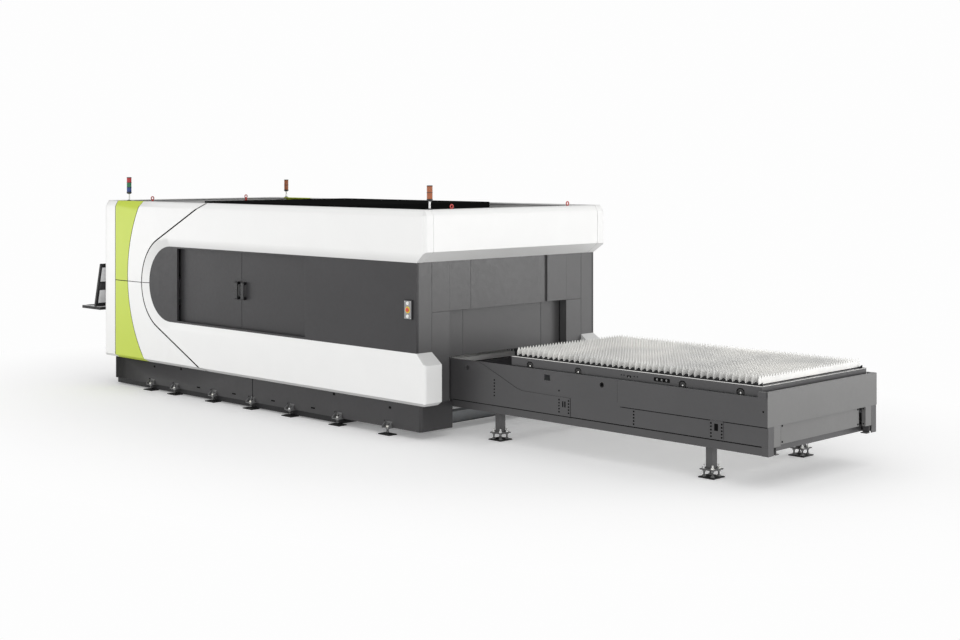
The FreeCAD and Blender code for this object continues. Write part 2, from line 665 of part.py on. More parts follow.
# ---- sliding front doors -------------------------------------------------------------------
def door_leaf(x0, x1):
    """Folded sheet leaf, hollow at its back, between two X places."""
    y0 = LEAF_INSET - HALF_WALL
    y1 = y0 + LEAF_THICKNESS
    z0 = OPENING_LOW - LEAF_LAP
    z1 = OPENING_HIGH + LEAF_LAP
    leaf = block(x0, x1, y0, y1, z0, z1)
    rim = LEAF_RIM
    return leaf.cut(block(x0 + rim, x1 - rim, y0 + LEAF_SKIN, y1, z0 + rim, z1 - rim))


def door_handle(x0, x1):
    """Flat-faced pull on two feet."""
    y1 = LEAF_INSET - HALF_WALL
    y0 = y1 - HANDLE_DEPTH
    z0 = WINDOW_MID - HANDLE_LENGTH / 2
    z1 = z0 + HANDLE_LENGTH
    bar = block(x0, x1, y0, y1, z0, z1)
    return bar.cut(block(x0, x1, y0 + HANDLE_BAR, y1, z0 + HANDLE_FOOT, z1 - HANDLE_FOOT))


def door_tracks():
    """Lower and upper track of the sliding leaves."""
    y1 = LEAF_INSET - HALF_WALL + LEAF_THICKNESS
    z0 = OPENING_LOW - LEAF_LAP - CLEARANCE
    z1 = OPENING_HIGH + LEAF_LAP + CLEARANCE
    reach = LEAF_LAP + LEAF_TRAVEL + LEAF_GAP
    x0 = LEFT_X + OPENING_LEFT - reach
    x1 = WALL_X + OPENING_RIGHT + reach
    low = block(x0, x1, -ROOM_HALF, y1, z0 - TRACK_HEIGHT, z0)
    high = block(x0, x1, -ROOM_HALF, y1, z1, z1 + TRACK_HEIGHT)
    return [low, high]


def build_front_doors():
    """Two leaves that slide apart, with their pulls."""
    left = LEFT_X + OPENING_LEFT - LEAF_LAP
    right = WALL_X + OPENING_RIGHT + LEAF_LAP
    middle = (left + right) / 2
    edge = LEAF_GAP / 2
    save("front_door_left", door_leaf(left, middle - edge))
    save("front_door_right", door_leaf(middle + edge, right))
    near = edge + HANDLE_EDGE
    save("left_door_pull", door_handle(middle - near - HANDLE_WIDTH, middle - near))
    save("right_door_pull", door_handle(middle + near, middle + near + HANDLE_WIDTH))


# ---- plinth, frame and bed -----------------------------------------------------------------
def plinth_cuts():
    """Slots through the long sides of the plinth, and its notches round the feet."""
    length, height = PLINTH_SLOT
    cuts = []
    for place in PLINTH_SLOTS:
        x0 = WALL_X + place - length / 2
        z0 = PLINTH_SLOT_Z - height / 2
        cuts.append(block(x0, x0 + length, -PLINTH_HALF, -BASE_HALF, z0, z0 + height))
    half = FOOT_NOTCH / 2
    for place in FOOT_PLACES:
        x = WALL_X + place
        top = PLINTH_LOW + FOOT_NOTCH_HEIGHT
        cuts.append(block(x - half, x + half, -PLINTH_HALF, -BASE_HALF, PLINTH_LOW, top))
    return cuts


def build_plinth():
    """Dark panels round the foot of the cabin."""
    outer, inner = -PLINTH_HALF, -BASE_HALF
    x_end = WALL_X + PLINTH_PROUD
    seam = WALL_X + PLINTH_SEAM_X
    corner = PLINTH_CORNER
    left = block(PLINTH_X, seam - SEAM_DEPTH, outer, inner, PLINTH_LOW, PLINTH_HIGH)
    right = block(seam, x_end - corner, outer, inner, PLINTH_LOW, PLINTH_HIGH)
    cuts = plinth_cuts()
    panels = [left.cut(cuts), right.cut(cuts)]
    end_y = FINE_SEAM - TABLE_HALF
    back = WALL_X - WALL
    outline = [(x_end - corner, outer), (x_end, outer + corner), (x_end, end_y)]
    outline += [(back, end_y), (back, inner), (x_end - corner, inner)]
    corners = [FreeCAD.Vector(x, y, PLINTH_LOW) for x, y in outline]
    panels.append(prism(Part.makePolygon(corners + corners[:1]), SHELL_FOOT - PLINTH_LOW))
    x0 = PLINTH_X - PLINTH_THICKNESS
    save("plinth_panels", both_sides(panels) + [block(x0, PLINTH_X, outer, -outer, PLINTH_LOW, PLINTH_HIGH)])


def foot_bracket(x):
    """Bracket of one levelling foot: a level plate with two gussets on its rails."""
    half = FOOT_NOTCH / 2 - GUSSET_THICKNESS
    outer = -FOOT_Y - FOOT_BRACKET_REACH
    root = -BASE_HALF
    low = PLINTH_LOW - FOOT_BRACKET_THICKNESS
    pieces = [block(x - half, x + half, outer, root + SKID_SETBACK, low, PLINTH_LOW)]
    lip = PLINTH_LOW + GUSSET_LIP
    top = PLINTH_LOW + GUSSET_HEIGHT
    outline = [(root, PLINTH_LOW), (outer, PLINTH_LOW), (outer, lip), (root, top)]
    for x0 in (x - half, x + half - GUSSET_THICKNESS):
        pieces.append(plate_yz(outline, x0, x0 + GUSSET_THICKNESS))
    return pieces


def butted(pieces):
    """Each piece cut back to the ones before it, so that they only touch."""
    done = []
    for piece in pieces:
        near = [other for other in done if piece.BoundBox.intersect(other.BoundBox)]
        sunk = [other for other in near if piece.common(other).Solids]
        done += (piece.cut(sunk) if sunk else piece).Solids
    return done


def side_frame(x0, x1):
    """Posts and rails behind the front long side."""
    outer, inner = -ROOM_HALF, TUBE - ROOM_HALF
    base_outer, base_inner = -BASE_HALF, TUBE - BASE_HALF
    waist = WINDOW_LOW - WAIST_DROP
    corner_inner = END_CORNER_RADIUS + TUBE - HALF_SHELL
    tubes = [block(x0, x0 + TUBE, outer, corner_inner, PLINTH_HIGH, ROOM_TOP)]
    tubes.append(block(x1 - TUBE, x1, outer, inner, PLINTH_HIGH, ROOM_TOP))
    post_y = -BULKHEAD_HALF
    tubes.append(block(BULKHEAD - TUBE, BULKHEAD, post_y - TUBE, post_y, PLINTH_LOW, ROOM_TOP))
    for x in (PLINTH_X, x1 - TUBE):
        tubes.append(block(x, x + TUBE, base_outer, base_inner, PLINTH_LOW, PLINTH_HIGH))
    for top in (PLINTH_HIGH + TUBE, waist, ROOM_TOP):
        tubes.append(block(x0 + TUBE, x1 - TUBE, outer, inner, top - TUBE, top))
    tubes.append(block(PLINTH_X + TUBE, x1 - TUBE, base_outer, base_inner, PLINTH_LOW, PLINTH_LOW + TUBE))
    skid_outer = base_outer + SKID_SETBACK
    tubes.append(block(PLINTH_X, WALL_X + SKID_END, skid_outer, skid_outer + TUBE, SKID_LOW, PLINTH_LOW))
    for place in FOOT_PLACES:
        tubes += foot_bracket(WALL_X + place)
    return tubes


def build_frame():
    """Welded tube frame that carries the panels."""
    x0 = LEFT_X + SHELL_DEPTH + TUBE
    x1 = WALL_X - WALL
    half = ROOM_HALF - TUBE
    end_half = HALF_SHELL - END_CORNER_RADIUS
    tubes = both_sides(side_frame(x0, x1))
    for x in (BULKHEAD - TUBE, x1 - TUBE):
        tubes.append(block(x, x + TUBE, -half, half, ROOM_TOP - TUBE, ROOM_TOP))
    for top in (PLINTH_HIGH + TUBE, ROOM_TOP):
        tubes.append(block(x0 - TUBE, x0, -end_half, end_half, top - TUBE, top))
    half = BASE_HALF - TUBE
    tubes.append(block(PLINTH_X, PLINTH_X + TUBE, -half, half, PLINTH_LOW, PLINTH_LOW + TUBE))
    half -= SKID_SETBACK
    for x in (PLINTH_X, WALL_X + SKID_END - TUBE):
        tubes.append(block(x, x + TUBE, -half, half, SKID_LOW, PLINTH_LOW))
    save("cabin_frame", butted(tubes))


def build_bed():
    """Welded machine bed with its two long beams, rails and racks."""
    x0 = BULKHEAD + TUBE
    x1 = BED_END_X
    beams = both_sides([block(x0, x1, -BED_OUTER, -BED_INNER, PLINTH_LOW, BED_TOP)])
    span = (x1 - x0 - BED_CROSS) / (BED_CROSS_COUNT - 1)
    for index in range(BED_CROSS_COUNT):
        x = x0 + index * span
        beams.append(block(x, x + BED_CROSS, -BED_INNER, BED_INNER, PLINTH_LOW, PLINTH_LOW + BED_CROSS))
    for index in range(BED_CROSS_COUNT - 1):
        x = x0 + (index + 0.5) * span
        low = PLINTH_LOW
        beams += both_sides([block(x, x + TUBE, BED_OUTER, BED_OUTER + BED_GAP, low, low + TUBE)])
    save("machine_bed", butted(beams))
    rail = block(x0, x1, -RAIL_Y - RAIL_WIDTH / 2, RAIL_WIDTH / 2 - RAIL_Y, BED_TOP, RAIL_TOP)
    rack_y = -RAIL_Y - RAIL_WIDTH
    rack = block(x0, x1, rack_y - RACK_WIDTH, rack_y, BED_TOP, BED_TOP + RACK_HEIGHT)
    save("long_rails", both_sides([rail, rack]))


def build_roof():
    """Recessed roof deck with raised covers in its middle."""
    inset = CHAMFER_DEPTH + SHELL_DEPTH + DECK_GAP
    deck = prism(plan_wire(inset, ROOM_TOP), DECK_THICKNESS)
    cabin = block(LEFT_X, WALL_X, -HALF_SHELL, HALF_SHELL, ROOM_TOP, TOP_Z)
    save("roof_deck", deck.common(cabin))
    covers = []
    length = (COVER_END - COVER_START) / COVER_COUNT
    for index in range(COVER_COUNT):
        x = WALL_X + COVER_START + index * length
        low, high = ROOM_TOP + DECK_THICKNESS, TOP_Z + COVER_RISE
        covers.append(block(x, x + length - FINE_SEAM, -COVER_HALF, COVER_HALF, low, high))
    save("roof_covers", covers)


# ---- gantry and cutting head ------------------------------------------------------------------
def build_gantry():
    """Cross beam on four skates, with its two guide rails."""
    half = BED_OUTER - GANTRY_EDGE
    x0 = GANTRY_X
    x1 = x0 + GANTRY_DEPTH
    pieces = [block(x0, x1, -half, half, BEAM_LOW, BEAM_HIGH)]
    for y in (-RAIL_Y, RAIL_Y):
        for x in (x0, x1 - SKATE_LENGTH):
            y0, y1 = y - RAIL_WIDTH, y + RAIL_WIDTH
            pieces.append(block(x, x + SKATE_LENGTH, y0, y1, RAIL_TOP + CLEARANCE, BEAM_LOW))
    save("gantry_beam", join(pieces))
    rails = []
    for z in (BEAM_LOW + CROSS_RAIL, BEAM_HIGH - CROSS_RAIL):
        low, high = z - CROSS_RAIL / 2, z + CROSS_RAIL / 2
        rails.append(block(x1, x1 + CROSS_RAIL_DEPTH, -BED_INNER, BED_INNER, low, high))
    save("cross_rails", rails)


def build_carriage():
    """Carriage on the beam, its upright slide and the cutting head."""
    x0 = GANTRY_X + GANTRY_DEPTH + CROSS_RAIL_DEPTH + CLEARANCE
    x1 = x0 + CARRIAGE_DEPTH
    y = CARRIAGE_Y
    half = CARRIAGE_WIDTH / 2
    save("cross_carriage", block(x0, x1, y - half, y + half, BEAM_LOW, BEAM_HIGH + CARRIAGE_ABOVE))
    slide_x0 = x1 + CLEARANCE
    slide_x1 = slide_x0 + SLIDE_DEPTH
    top = BEAM_HIGH + SLIDE_ABOVE
    half = SLIDE_WIDTH / 2
    save("head_slide", block(slide_x0, slide_x1, y - half, y + half, top - SLIDE_HEIGHT, top))
    centre_x = slide_x1 + HEAD_STANDOFF
    neck_low = HEAD_LOW + NOZZLE_LENGTH
    body_low = neck_low + NECK_LENGTH
    body = many_sided(HEAD_RADIUS, HEAD_BODY, (centre_x, y, body_low), AXIS_Z)
    neck = many_sided(NECK_RADIUS, NECK_LENGTH, (centre_x, y, neck_low), AXIS_Z)
    half = HEAD_RADIUS
    saddle = block(slide_x1, centre_x, y - half, y + half, body_low, body_low + SADDLE_HEIGHT)
    tip = tapered(NOZZLE_TIP, NOZZLE_TOP, NOZZLE_LENGTH, (centre_x, y, HEAD_LOW))
    save("cutting_head", [join([body, neck, saddle]), tip])


# ---- cabinet behind the bulkhead -----------------------------------------------------------------
def build_cabinet():
    """Bulkhead, laser source and electrical cabinet at the operator end."""
    x1 = BULKHEAD - TUBE
    half = BULKHEAD_HALF
    floor = PLINTH_LOW + TUBE
    shelf_top = floor + FLANGE_THICKNESS
    wall = block(x1, x1 + WALL, -half, half, floor, ROOM_TOP - TUBE)
    shelf = block(PLINTH_X, x1, -half, half, floor, shelf_top)
    save("cabinet_bulkhead", join([wall, shelf]))
    x0 = PLINTH_X + TUBE
    save("laser_source", block(x0, x1, TUBE - half, -TUBE, shelf_top, shelf_top + LASER_HEIGHT))
    save("electrical_cabinet", block(x0, x1, TUBE, half - TUBE, shelf_top, shelf_top + CABINET_HEIGHT))


# ---- pallets and their tracks -------------------------------------------------------------------
def slat_outline():
    """Saw-tooth outline of one slat, as (y, z above the pallet frame)."""
    half = PALLET_HALF - SLAT_INSET
    teeth = int(2 * half / TOOTH_PITCH)
    step = 2 * half / teeth
    valley = SLAT_RISE - TOOTH_DEPTH
    points = [(-half, COMB_FLOOR), (half, COMB_FLOOR)]
    for index in range(teeth):
        right = half - index * step
        points.append((right, valley))
        points.append((right - step / 2, SLAT_RISE))
    points.append((-half, valley))
    return points


def plain_outline():
    """Outline of a slat that is seen from its side only, without its teeth."""
    half = PALLET_HALF - SLAT_INSET
    return [(-half, COMB_FLOOR), (half, COMB_FLOOR), (half, SLAT_RISE), (-half, SLAT_RISE)]


def slats(x0, frame_top, profile):
    """All slats of one pallet."""
    outline = [(y, z + frame_top) for y, z in profile]
    first = x0 + FIRST_SLAT - SLAT_THICKNESS / 2
    pattern = plate_yz(outline, first, first + SLAT_THICKNESS)
    return [pattern.translated(FreeCAD.Vector(index * SLAT_PITCH, 0, 0)) for index in range(SLAT_COUNT)]


def comb(x0, frame_top):
    """Zigzag strip, with the foot of one slat in each of its valleys."""
    top = frame_top + COMB_HEIGHT
    slope = (COMB_HEIGHT - COMB_FLOOR) / (SLAT_PITCH / 2)
    floor = frame_top + COMB_FLOOR - slope * (SLAT_THICKNESS / 2 + CLEARANCE)
    first = x0 + FIRST_SLAT
    points = [(first - SLAT_PITCH / 2, frame_top), (first - SLAT_PITCH / 2, top)]
    for index in range(SLAT_COUNT):
        middle = first + index * SLAT_PITCH
        points += [(middle, floor), (middle + SLAT_PITCH / 2, top)]
    points.append((first + (SLAT_COUNT - 0.5) * SLAT_PITCH, frame_top))
    y0 = COMB_INSET - PALLET_HALF
    return plate_xz(points, y0, y0 + COMB_THICKNESS)


def wheel_places(x0):
    """X places of the wheels of a pallet that starts at x0."""
    x1 = x0 + PALLET_LENGTH
    return [x0 + place for place in INNER_WHEELS] + [x1 - place for place in OUTER_WHEELS]


def pallet_frame(x0, track_z):
    """Welded pallet frame with a notch round each roller."""
    z0 = track_z + FRAME_ABOVE_TRACK
    z1 = z0 + PALLET_HEIGHT
    x1 = x0 + PALLET_LENGTH
    inner = PALLET_HALF - PALLET_BEAM
    bay = (PALLET_LENGTH - PALLET_BEAM) / (PALLET_CROSS_COUNT - 1)
    bars = both_sides([block(x0, x1, -PALLET_HALF, -inner, z0, z1)])
    for index in range(PALLET_CROSS_COUNT):
        x = x0 + index * bay
        bars.append(block(x, x + PALLET_BEAM, -inner, inner, z0, z1))
    room = WHEEL_RADIUS + WHEEL_ROOM
    top = track_z + WHEEL_RADIUS + room
    corner = NOTCH_CORNER
    notches = []
    for x in wheel_places(x0):
        outline = [(x - room, z0), (x - room, top - corner), (x - room + corner, top)]
        outline += [(x + room - corner, top), (x + room, top - corner), (x + room, z0)]
        notches.append(plate_xz(outline, -PALLET_HALF, WHEEL_SETBACK + WHEEL_WIDTH - PALLET_HALF))
    return join(bars).cut(both_sides(notches))


def pallet_wheels(x0, track_z):
    """Stud rollers on both sides of a pallet, each flat against its beam."""
    z = track_z + WHEEL_RADIUS + CLEARANCE
    y0 = WHEEL_SETBACK - PALLET_HALF
    rollers = [many_sided(WHEEL_RADIUS, WHEEL_WIDTH, (x, y0, z), AXIS_Y) for x in wheel_places(x0)]
    return both_sides(rollers)


def slat_bearer(x0, frame_top):
    """Plain strip under the slats of one side of the lower pallet."""
    left = x0 + PALLET_BEAM / 2
    right = x0 + PALLET_LENGTH - PALLET_BEAM / 2
    y0 = COMB_INSET - PALLET_HALF
    return block(left, right, y0, y0 + COMB_THICKNESS, frame_top, frame_top + COMB_FLOOR)


def build_pallet(name, x0, track_z, profile, strip):
    """One pallet: frame, slats on their strips, and rollers."""
    top = track_z + FRAME_ABOVE_TRACK + PALLET_HEIGHT
    save(name + "_pallet_frame", pallet_frame(x0, track_z))
    save(name + "_pallet_slats", slats(x0, top, profile) + both_sides([strip(x0, top)]))
    save(name + "_pallet_wheels", pallet_wheels(x0, track_z))


def build_tracks():
    """Rails of both levels, in the table and through the cutting room."""
    x0 = PALLET_X - PALLET_TRAVEL - TUBE
    x1 = TABLE_END_X - 2 * TABLE_SKIN
    outer = TABLE_SKIN - TABLE_HALF
    inner = outer + TRACK_WIDTH
    thick = TRACK_THICKNESS
    pieces = [block(x0, x1, outer, inner, z - thick, z) for z in (UPPER_TRACK_Z, LOWER_TRACK_Z)]
    end_x = WALL_X - WALL
    pieces.append(block(x0, end_x, -TABLE_HALF, outer, LOWER_TRACK_Z - thick, UPPER_TRACK_Z))
    pitch = (BED_END_X - x0 - 2 * TUBE) / (TRACK_BRACKETS - 1)
    for index in range(TRACK_BRACKETS):
        x = x0 + TUBE / 2 + index * pitch
        z = LOWER_TRACK_Z
        pieces.append(block(x, x + TUBE, -BED_INNER, -TABLE_HALF, z, z + TUBE))
    save("pallet_tracks", both_sides([join(pieces)]))


# ---- table ------------------------------------------------------------------------------------
def build_table_sides():
    """Long side plates with their holes, and the swept plates on them."""
    x0 = WALL_X - WALL
    x1 = TABLE_END_X - TABLE_SKIN
    y0 = -TABLE_HALF
    skin_y = y0 - SWOOP_SKIN
    side = block(x0, x1, y0, y0 + TABLE_SKIN, TABLE_LOW, TABLE_HIGH)
    through = TABLE_SKIN + SWOOP_SKIN
    holes = [many_sided(SIDE_HOLE_RADIUS, through, (WALL_X + x, skin_y, z), AXIS_Y) for x, z in SIDE_HOLES]
    x, z = SIDE_WINDOW
    width, height = SIDE_WINDOW_SIZE
    left, low = WALL_X + x - width / 2, z - height / 2
    holes.append(block(left, left + width, skin_y, y0 + TABLE_SKIN, low, low + height))
    save("table_sides", both_sides([side.cut(holes)]))
    outline = [(0, TABLE_LOW), (0, TABLE_HIGH)]
    outline += SWOOP_EDGE
    outline += [(SWOOP_END, SWOOP_LOW_EDGE), (SWOOP_END, TABLE_LOW)]
    skin = plate_xz([(WALL_X + x, z) for x, z in outline], skin_y, y0)
    save("swept_side_plates", both_sides([skin.cut(holes)]))


def build_table_guard():
    """Guard bent round the outer end of the table."""
    start = WALL_X + GUARD_START
    x1 = TABLE_END_X - TABLE_SKIN
    y0 = -TABLE_HALF - TABLE_SKIN
    y1 = -TABLE_HALF
    radius = GUARD_RADIUS
    side = block(start, x1, y0, y1, GUARD_LOW, TABLE_HIGH)
    corner = block(start, start + radius, y0, y1, GUARD_LOW, GUARD_LOW + radius)
    round_off = corner.cut(rod(radius, TABLE_SKIN, (start + radius, y0, GUARD_LOW + radius), AXIS_Y))
    side = side.cut(round_off)
    upstand = block(x1, TABLE_END_X, y0, -y0, GUARD_LOW, GUARD_HIGH)
    save("table_guards", join([side, upstand, mirrored(side)]))


def build_table_end():
    """Lower end plate and the corner brackets beside it."""
    x1 = TABLE_END_X
    x0 = x1 - TABLE_SKIN
    half = TABLE_HALF - END_PLATE_INSET
    plate = block(x0, x1, -half, half, TABLE_LOW, GUARD_LOW)
    outer = -TABLE_HALF
    post = block(x0 - TUBE, x1, outer, outer + END_POST, FLANGE_LOW, GUARD_LOW)
    hollow = block(x0 - TUBE, x0, outer + TABLE_SKIN, outer + END_POST, FLANGE_LOW, GUARD_LOW)
    side_room = block(x0 - TUBE, x0, outer, outer + TABLE_SKIN, TABLE_LOW, GUARD_LOW)
    save("table_end_plates", both_sides([post.cut([hollow, side_room])]) + [plate])


def build_subframe():
    """Flanged rails, cross tubes, motor shelf and shaft bearings under the table."""
    x0 = WALL_X - WALL
    x1 = TABLE_END_X - TABLE_SKIN - TUBE
    skin = TABLE_SKIN
    y0 = skin - TABLE_HALF
    y1 = y0 + FLANGE_WIDTH
    rail = [block(x0, x1, y0, y0 + skin, FLANGE_LOW, TABLE_LOW + skin)]
    rail += [block(x0, x1, y0 + skin, y1, z, z + skin) for z in (FLANGE_LOW, TABLE_LOW)]
    pieces = both_sides(rail)
    for place in LEG_PLACES:
        x = WALL_X + place - TUBE / 2
        pieces.append(block(x, x + TUBE, y1, -y1, FLANGE_LOW, FLANGE_LOW + TUBE))
    shelf_top = SHAFT_Z - SHELF_DROP
    shelf_x1 = SHAFT_X + TUBE
    pieces.append(block(shelf_x1 - SHELF_LENGTH, shelf_x1, y1, -y1, FLANGE_LOW, shelf_top))
    y0 = -SHAFT_HALF
    hanger = block(SHAFT_X - TUBE / 2, SHAFT_X + TUBE / 2, y0, y0 + BEARING_WIDTH, shelf_top,
                   LOWER_TRACK_Z - TRACK_THICKNESS)
    bore = rod(SHAFT_RADIUS + RUNNING_FIT, BEARING_WIDTH, (SHAFT_X, y0, SHAFT_Z), AXIS_Y)
    save("table_subframe", pieces + both_sides([hanger.cut(bore)]))


def build_legs():
    """Four legs on jack bolts and floor plates."""
    legs, plates, bolts = [], [], []
    flange_z = LEG_PLATE_THICKNESS + LEG_JACK_HEIGHT
    tube, flange, plate = LEG_TUBE / 2, LEG_FLANGE / 2, LEG_PLATE / 2
    thick = LEG_PLATE_THICKNESS
    jack = LEG_JACK_PITCH / 2
    for place in LEG_PLACES:
        x, y = WALL_X + place, -LEG_Y
        post = block(x - tube, x + tube, y - tube, y + tube, flange_z + thick, FLANGE_LOW)
        collar = block(x - flange, x + flange, y - flange, y + flange, flange_z, flange_z + thick)
        legs += [post, collar]
        foot = block(x - plate, x + plate, y - plate, y + plate, 0, thick)
        plates.append(foot.cut(rod(LEG_HOLE_RADIUS, thick, (x, y - LEG_HOLE_OUT, 0), AXIS_Z)))
        for sx, sy in ((-1, -1), (1, -1), (1, 1), (-1, 1)):
            bolts.append(hexagon_bar(LEG_JACK_RADIUS, LEG_JACK_HEIGHT, x + sx * jack, y + sy * jack, thick))
    save("table_legs", both_sides(legs))
    save("leg_floor_plates", both_sides(plates))
    save("leg_jack_bolts", both_sides(bolts))


def build_feet():
    """Levelling feet under both long sides of the cabin."""
    feet = []
    half, width = PAD_LENGTH / 2, PAD_WIDTH / 2
    height = PLINTH_LOW - FOOT_BRACKET_THICKNESS - PAD_HEIGHT
    for place in FOOT_PLACES:
        x, y = WALL_X + place, -FOOT_Y
        feet.append(block(x - half, x + half, y - width, y + width, 0, PAD_HEIGHT))
        feet.append(hexagon_bar(JACK_RADIUS, height, x, y, PAD_HEIGHT))
    save("levelling_feet", both_sides(feet))


# ---- drive of the pallets ----------------------------------------------------------------------
def build_drive():
    """Cross shaft with sprockets and its geared motor, below the lower track."""
    x, z = SHAFT_X, SHAFT_Z
    pieces = [rod(SHAFT_RADIUS, 2 * SHAFT_HALF, (x, -SHAFT_HALF, z), AXIS_Y)]
    sprocket_y = SPROCKET_INSET - SHAFT_HALF
    pieces += both_sides([many_sided(SPROCKET_RADIUS, SPROCKET_WIDTH, (x, sprocket_y, z), AXIS_Y)])
    save("drive_shaft", join(pieces))
    half = GEARBOX_LENGTH / 2
    y0, y1 = GEARBOX_Y, GEARBOX_Y + GEARBOX_LENGTH
    gearbox = block(x - half, x + half, y0, y1, z - SHELF_DROP, z + GEARBOX_RISE)
    bore = rod(SHAFT_RADIUS + CLEARANCE, GEARBOX_LENGTH, (x, y0, z), AXIS_Y)
    motor_base = (x - half - MOTOR_LENGTH, y0 + half, z - MOTOR_DROP)
    motor = many_sided(MOTOR_RADIUS, MOTOR_LENGTH, motor_base, AXIS_X)
    save("drive_gear_motor", join([gearbox, motor]).cut(bore))


# ---- lamps, eyes and controls --------------------------------------------------------------------
def build_lamps():
    """Three signal lamps on the flange of the roof."""
    pieces = []
    for end, side, count, spot in zip(LAMP_ENDS, LAMP_SIDES, LAMP_COUNTS, LAMP_SPOTS):
        place, inset, segment, pole = spot
        x, y = end + place, side * (HALF_SHELL - inset)
        cup_z = TOP_Z + pole
        pieces.append(many_sided(LAMP_POLE_RADIUS, pole, (x, y, TOP_Z), AXIS_Z))
        pieces.append(many_sided(LAMP_RADIUS, LAMP_CUP, (x, y, cup_z), AXIS_Z))
        for index in range(count):
            z = cup_z + LAMP_CUP + index * segment
            pieces.append(many_sided(LAMP_RADIUS, segment, (x, y, z), AXIS_Z))
    save("signal_lamps", pieces)


def lifting_eye(x, y, z, post):
    """Ring eye above its collar, on a post of the given height."""
    middle_z = z + post + EYE_COLLAR + EYE_INNER
    rings = []
    for radius in (EYE_OUTER, EYE_INNER):
        angles = [math.tau * (index + 0.5) / EYE_SIDES for index in range(EYE_SIDES)]
        outline = [(y + radius * math.cos(angle), middle_z + radius * math.sin(angle)) for angle in angles]
        rings.append(plate_yz(outline, x - EYE_WIDTH / 2, x + EYE_WIDTH / 2))
    collar = hexagon_bar(EYE_COLLAR_RADIUS, post + EYE_COLLAR, x, y, z)
    return join([rings[0], collar]).cut(rings[1])


def build_eyes():
    """Lifting eyes on the roof deck and on the end flange."""
    deck_z = ROOM_TOP + DECK_THICKNESS
    eyes = []
    for hand, (x, inset) in zip(EYE_HANDS, DECK_EYES):
        eyes.append(lifting_eye(LEFT_X + x, hand * (HALF_SHELL - inset), deck_z, TOP_Z - deck_z))
    for hand, (x, inset) in zip(EYE_HANDS, FLANGE_EYES):
        eyes.append(lifting_eye(WALL_X + x, hand * (HALF_SHELL - inset), TOP_Z, 0))
    save("lifting_eyes", eyes)


def build_controls():
    """Push-button box beside the front doors."""
    x = WALL_X + BOX_X
    y1 = -HALF_WALL
    y0 = y1 - BOX_DEPTH
    half = BOX_WIDTH / 2
    case = block(x - half, x + half, y0, y1, BOX_LOW, BOX_LOW + BOX_HEIGHT)
    middle = BOX_LOW + BOX_HEIGHT / 2
    buttons = (("lower_push_button", middle - BUTTON_PITCH, BUTTON_RADIUS),
               ("emergency_button", middle, ESTOP_RADIUS),
               ("upper_push_button", middle + BUTTON_PITCH, BUTTON_RADIUS))
    cap_y = y0 - BUTTON_TRAVEL - CLEARANCE
    stem_length = SOCKET_DEPTH - CLEARANCE
    for name, z, radius in buttons:
        socket = BUTTON_STEM + CLEARANCE
        case = case.cut(block(x - socket, x + socket, y0, y0 + SOCKET_DEPTH, z - socket, z + socket))
        cap = many_sided(radius, BUTTON_CAP, (x, cap_y - BUTTON_CAP, z), AXIS_Y)
        half = BUTTON_STEM
        stem = block(x - half, x + half, cap_y, cap_y + stem_length, z - half, z + half)
        save(name, join([cap, stem]))
    save("push_button_box", case)


def build_console_bracket():
    """Wall plate with two lugs and the swing pin of the console."""
    x0, y = PIN_X, PIN_Y
    low = CONSOLE_Z - ARM_HEIGHT
    pieces = []
    for z in (low - CLEARANCE - LUG_HEIGHT, CONSOLE_Z + CLEARANCE):
        pieces.append(block(x0, LEFT_X, y - LUG_RADIUS, y + LUG_RADIUS, z, z + LUG_HEIGHT))
        pieces.append(many_sided(LUG_RADIUS, LUG_HEIGHT, (x0, y, z), AXIS_Z))
    z0 = low - CLEARANCE - LUG_HEIGHT
    z1 = CONSOLE_Z + CLEARANCE + LUG_HEIGHT
    pieces.append(rod(PIN_RADIUS, z1 - z0, (x0, y, z0), AXIS_Z))
    pieces.append(block(LEFT_X - FLANGE_THICKNESS, LEFT_X, y - LUG_RADIUS, y + LUG_RADIUS, z0, z1))
    save("console_bracket", join(pieces))


def build_console():
    """Operator console on a swing arm at the operator end."""
    build_console_bracket()
    low = CONSOLE_Z - ARM_HEIGHT
    tray_y0 = CONSOLE_Y - TRAY_HALF
    tray_y1 = PIN_Y - LUG_RADIUS - PIN_TRAY_GAP
    arm_x = PIN_X - ARM_LENGTH
    hub = rod(ARM_RADIUS, ARM_HEIGHT, (PIN_X, PIN_Y, low), AXIS_Z)
    arm = block(arm_x, PIN_X, PIN_Y - ARM_RADIUS, PIN_Y + ARM_RADIUS, low, CONSOLE_Z)
    under = block(arm_x, arm_x + 2 * ARM_RADIUS, CONSOLE_Y, PIN_Y, low, CONSOLE_Z)
    top = CONSOLE_Z + TRAY_THICKNESS
    tray = block(LEFT_X - CONSOLE_REACH, LEFT_X - TRAY_WALL_GAP, tray_y0, tray_y1, CONSOLE_Z, top)
    bore = rod(PIN_RADIUS + RUNNING_FIT, ARM_HEIGHT, (PIN_X, PIN_Y, low), AXIS_Z)
    save("console_tray", join([hub, arm, under, tray]).cut(bore))
    lean = math.tan(math.radians(SCREEN_LEAN)) * SCREEN_HEIGHT
    back_x = LEFT_X - SCREEN_WALL_GAP
    front_x = back_x - SCREEN_THICKNESS
    outline = [(front_x - lean, top), (front_x, top + SCREEN_HEIGHT), (back_x, top + SCREEN_HEIGHT),
               (back_x - lean, top)]
    y0 = CONSOLE_Y - SCREEN_HALF
    save("console_screen", plate_xz(outline, y0, tray_y1))


